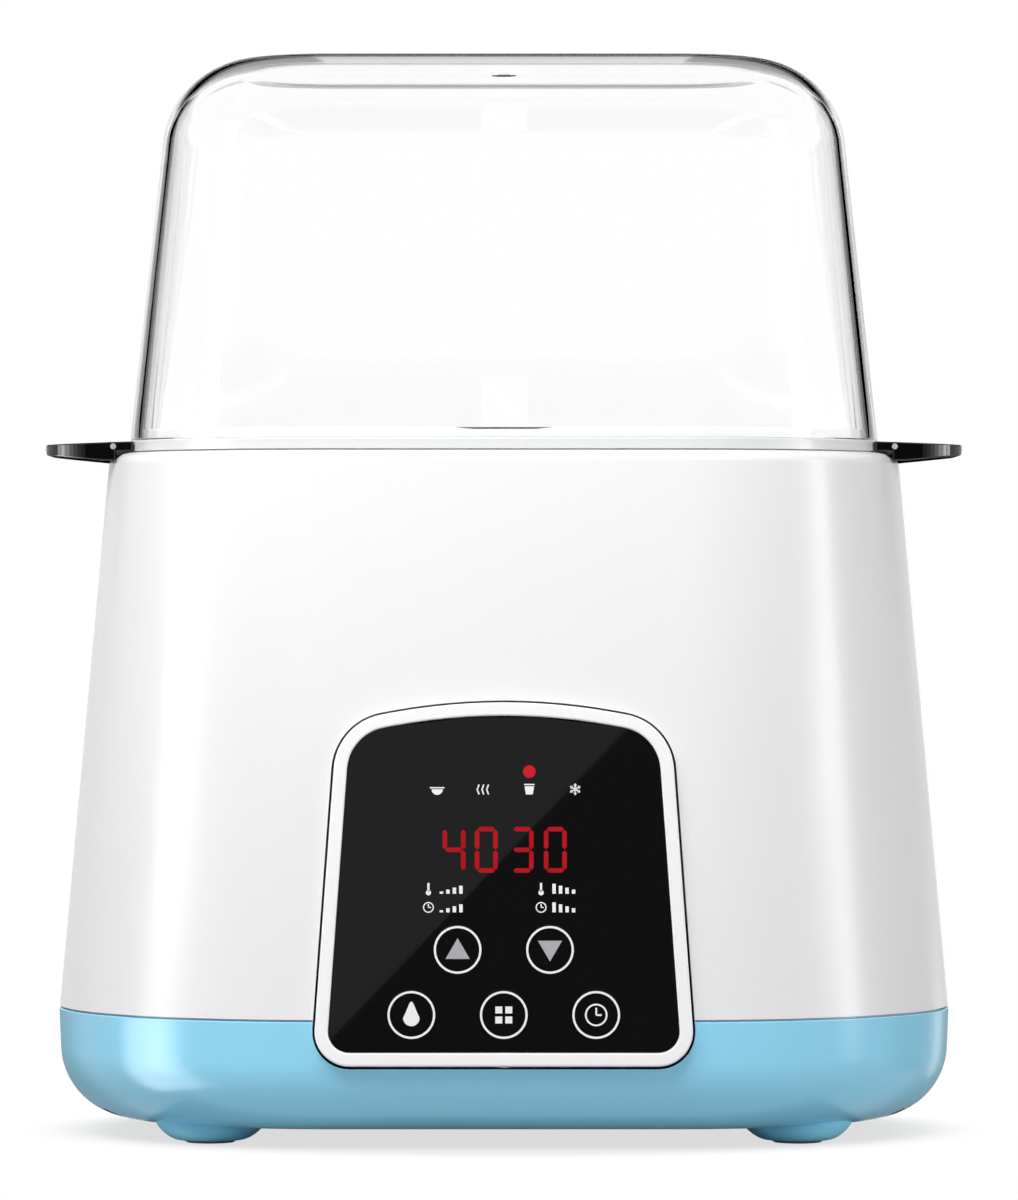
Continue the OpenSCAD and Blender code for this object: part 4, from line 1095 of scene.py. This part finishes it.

# %% [markdown]
# Clear plastic on a white ground would vanish. Photographers stand black cards on both sides, just out of
# the picture: the curved edges of the lid bend the view sideways and pick them up as dark lines. Cards
# high up behind do the same for the lid's top. The lens of the panel needs a card too, far in front, or it
# would mirror the white room. A lighter corner on that card makes the slanting gloss, and small ones shape
# the gloss on ears and base. A dark card just under the floor, below the object, is a painted shadow: the
# feet and the underside of the base mirror it in place of the floor's shade. The camera sees no card
# straight on. Some show only through the lid, and others only in reflections, so that a card set for one
# job doesn't spoil another.

# %% Black cards


def card(name, points, tone, through=True, mirrored=True):
    bm = bmesh.new()
    bm.faces.new([bm.verts.new(p) for p in points])
    mesh = bpy.data.meshes.new(name)
    bm.to_mesh(mesh)
    bm.free()
    finish, tree, _, _ = node_tree(name + "_tone")
    light = tree.nodes.new("ShaderNodeEmission")
    light.inputs["Color"].default_value = (tone, tone, tone, 1)
    tree.links.new(light.outputs["Emission"], tree.nodes["Material Output"].inputs["Surface"])
    mesh.materials.append(finish)
    obj = bpy.data.objects.new(name, mesh)
    obj.visible_camera = False
    obj.visible_diffuse = False
    obj.visible_shadow = False
    obj.visible_transmission = through
    obj.visible_glossy = mirrored
    scene.collection.objects.link(obj)


def upright(left, right, low, high, y):
    return [(left, y, low), (right, y, low), (right, y, high), (left, y, high)]


CARD_Y = -2.17
BEHIND = 1.5
CARD_LOW = 0.10
CARD_HIGH = 1.20
SIDE_NEAR = 0.42
SIDE_FAR = 0.99
SIDE_LEAN = 1.14
FAR_REACH = 2.4
BROW_LOW = 0.66
BROW_HIGH = 1.05
BROW_REACH = 0.90
TOP_REACH = 0.13
TOP_HIGH = 2.40
EDGE_Y = BEHIND - 0.02
FLANK_X = 1.5
EAR_CARD_X = (0.16, 0.72)
EAR_CARD_Y = -0.695
LENS_HALF = 0.12
GLOSS_Y = CARD_Y + 0.01
SHINE_COUNT = 6
SHINE_START = 46
SHINE_STEP = 4
SHINE_LOW = 0.14
SHINE_HIGH = 0.24
SHINE_TONE = 0.3
for side, name in ((-1, "left_card"), (1, "right_card")):
    card(name, [(side * SIDE_NEAR, BEHIND, CARD_LOW), (side * SIDE_FAR, BEHIND, CARD_LOW),
                (side * SIDE_LEAN, BEHIND, CARD_HIGH)], 0.0, mirrored=False)
    card(name + "_far", [(side * SIDE_FAR, BEHIND, CARD_LOW), (side * FAR_REACH, BEHIND, CARD_LOW),
                         (side * FAR_REACH, BEHIND, CARD_HIGH), (side * SIDE_LEAN, BEHIND, CARD_HIGH)],
         0.20, mirrored=False)
    card(name + "_low", upright(side * 0.25, side * 1.60, -1.20, -0.05, BEHIND), 0.30, through=False)
    card(name + "_top", upright(side * TOP_REACH, side * BROW_REACH, BROW_HIGH, TOP_HIGH, BEHIND), 0.36)
    card(name + "_high", upright(side * 1.05, side * 1.90, 0.32, CARD_HIGH, BEHIND), 0.0, through=False)
for name, low, high, reach, tone in (
        ("veil_card", 0.59, BROW_LOW, BROW_REACH, 0.36),
        ("brow_card", BROW_LOW, BROW_HIGH, BROW_REACH, 0.0),
        ("top_card", BROW_HIGH, TOP_HIGH, TOP_REACH, 0.72)):
    card(name, upright(-reach, reach, low, high, BEHIND), tone)
# Painted shadow: a dark card under the floor, seen only in reflections, stands in for the shade under the
# object in the gloss of the feet and the base.
card("floor_shadow_card", [(-0.09, -0.058, -0.01), (0.09, -0.058, -0.01), (0.09, 0.07, -0.01),
                     (-0.09, 0.07, -0.01)], 0.06, through=False)
card("edge_card", upright(0.95, 1.45, -0.50, 0.02, EDGE_Y), 2.0, through=False)
card("flank_card", [(FLANK_X, 0.25, -0.50), (FLANK_X, 1.1, -0.50), (FLANK_X, 1.1, 0.05),
                    (FLANK_X, 0.25, 0.05)], 0.35, through=False)
for side in (-1, 1):
    near_x, far_x = [side * x for x in EAR_CARD_X]
    card("ear_card", [(near_x, CARD_Y, 0.13), (far_x, EAR_CARD_Y, 0.13), (far_x, EAR_CARD_Y, 0.28),
                      (near_x, CARD_Y, 0.38 + 0.08 * side)], 0.0, through=False)
    for k in range(SHINE_COUNT):
        near = math.radians(SHINE_START + SHINE_STEP * k)
        far = math.radians(SHINE_START + SHINE_STEP * (k + 1))
        row = [(side * math.sin(near), -math.cos(near)), (side * math.sin(far), -math.cos(far))]
        card("shine_card", [(*row[0], SHINE_LOW), (*row[1], SHINE_LOW), (*row[1], SHINE_HIGH),
                            (*row[0], SHINE_HIGH)], SHINE_TONE * 2 ** k, through=False)
    card("under_card", upright(side * 0.117, side * 0.15, 0.143, 0.158, 0.5), 0.0, through=False)
card("lens_card", upright(-LENS_HALF, LENS_HALF, 0.22, 0.50, CARD_Y), 0.055)
card("gloss_card", [(-LENS_HALF, GLOSS_Y, 0.244), (LENS_HALF, GLOSS_Y, 0.498), (-LENS_HALF, GLOSS_Y, 0.498)],
     0.34)
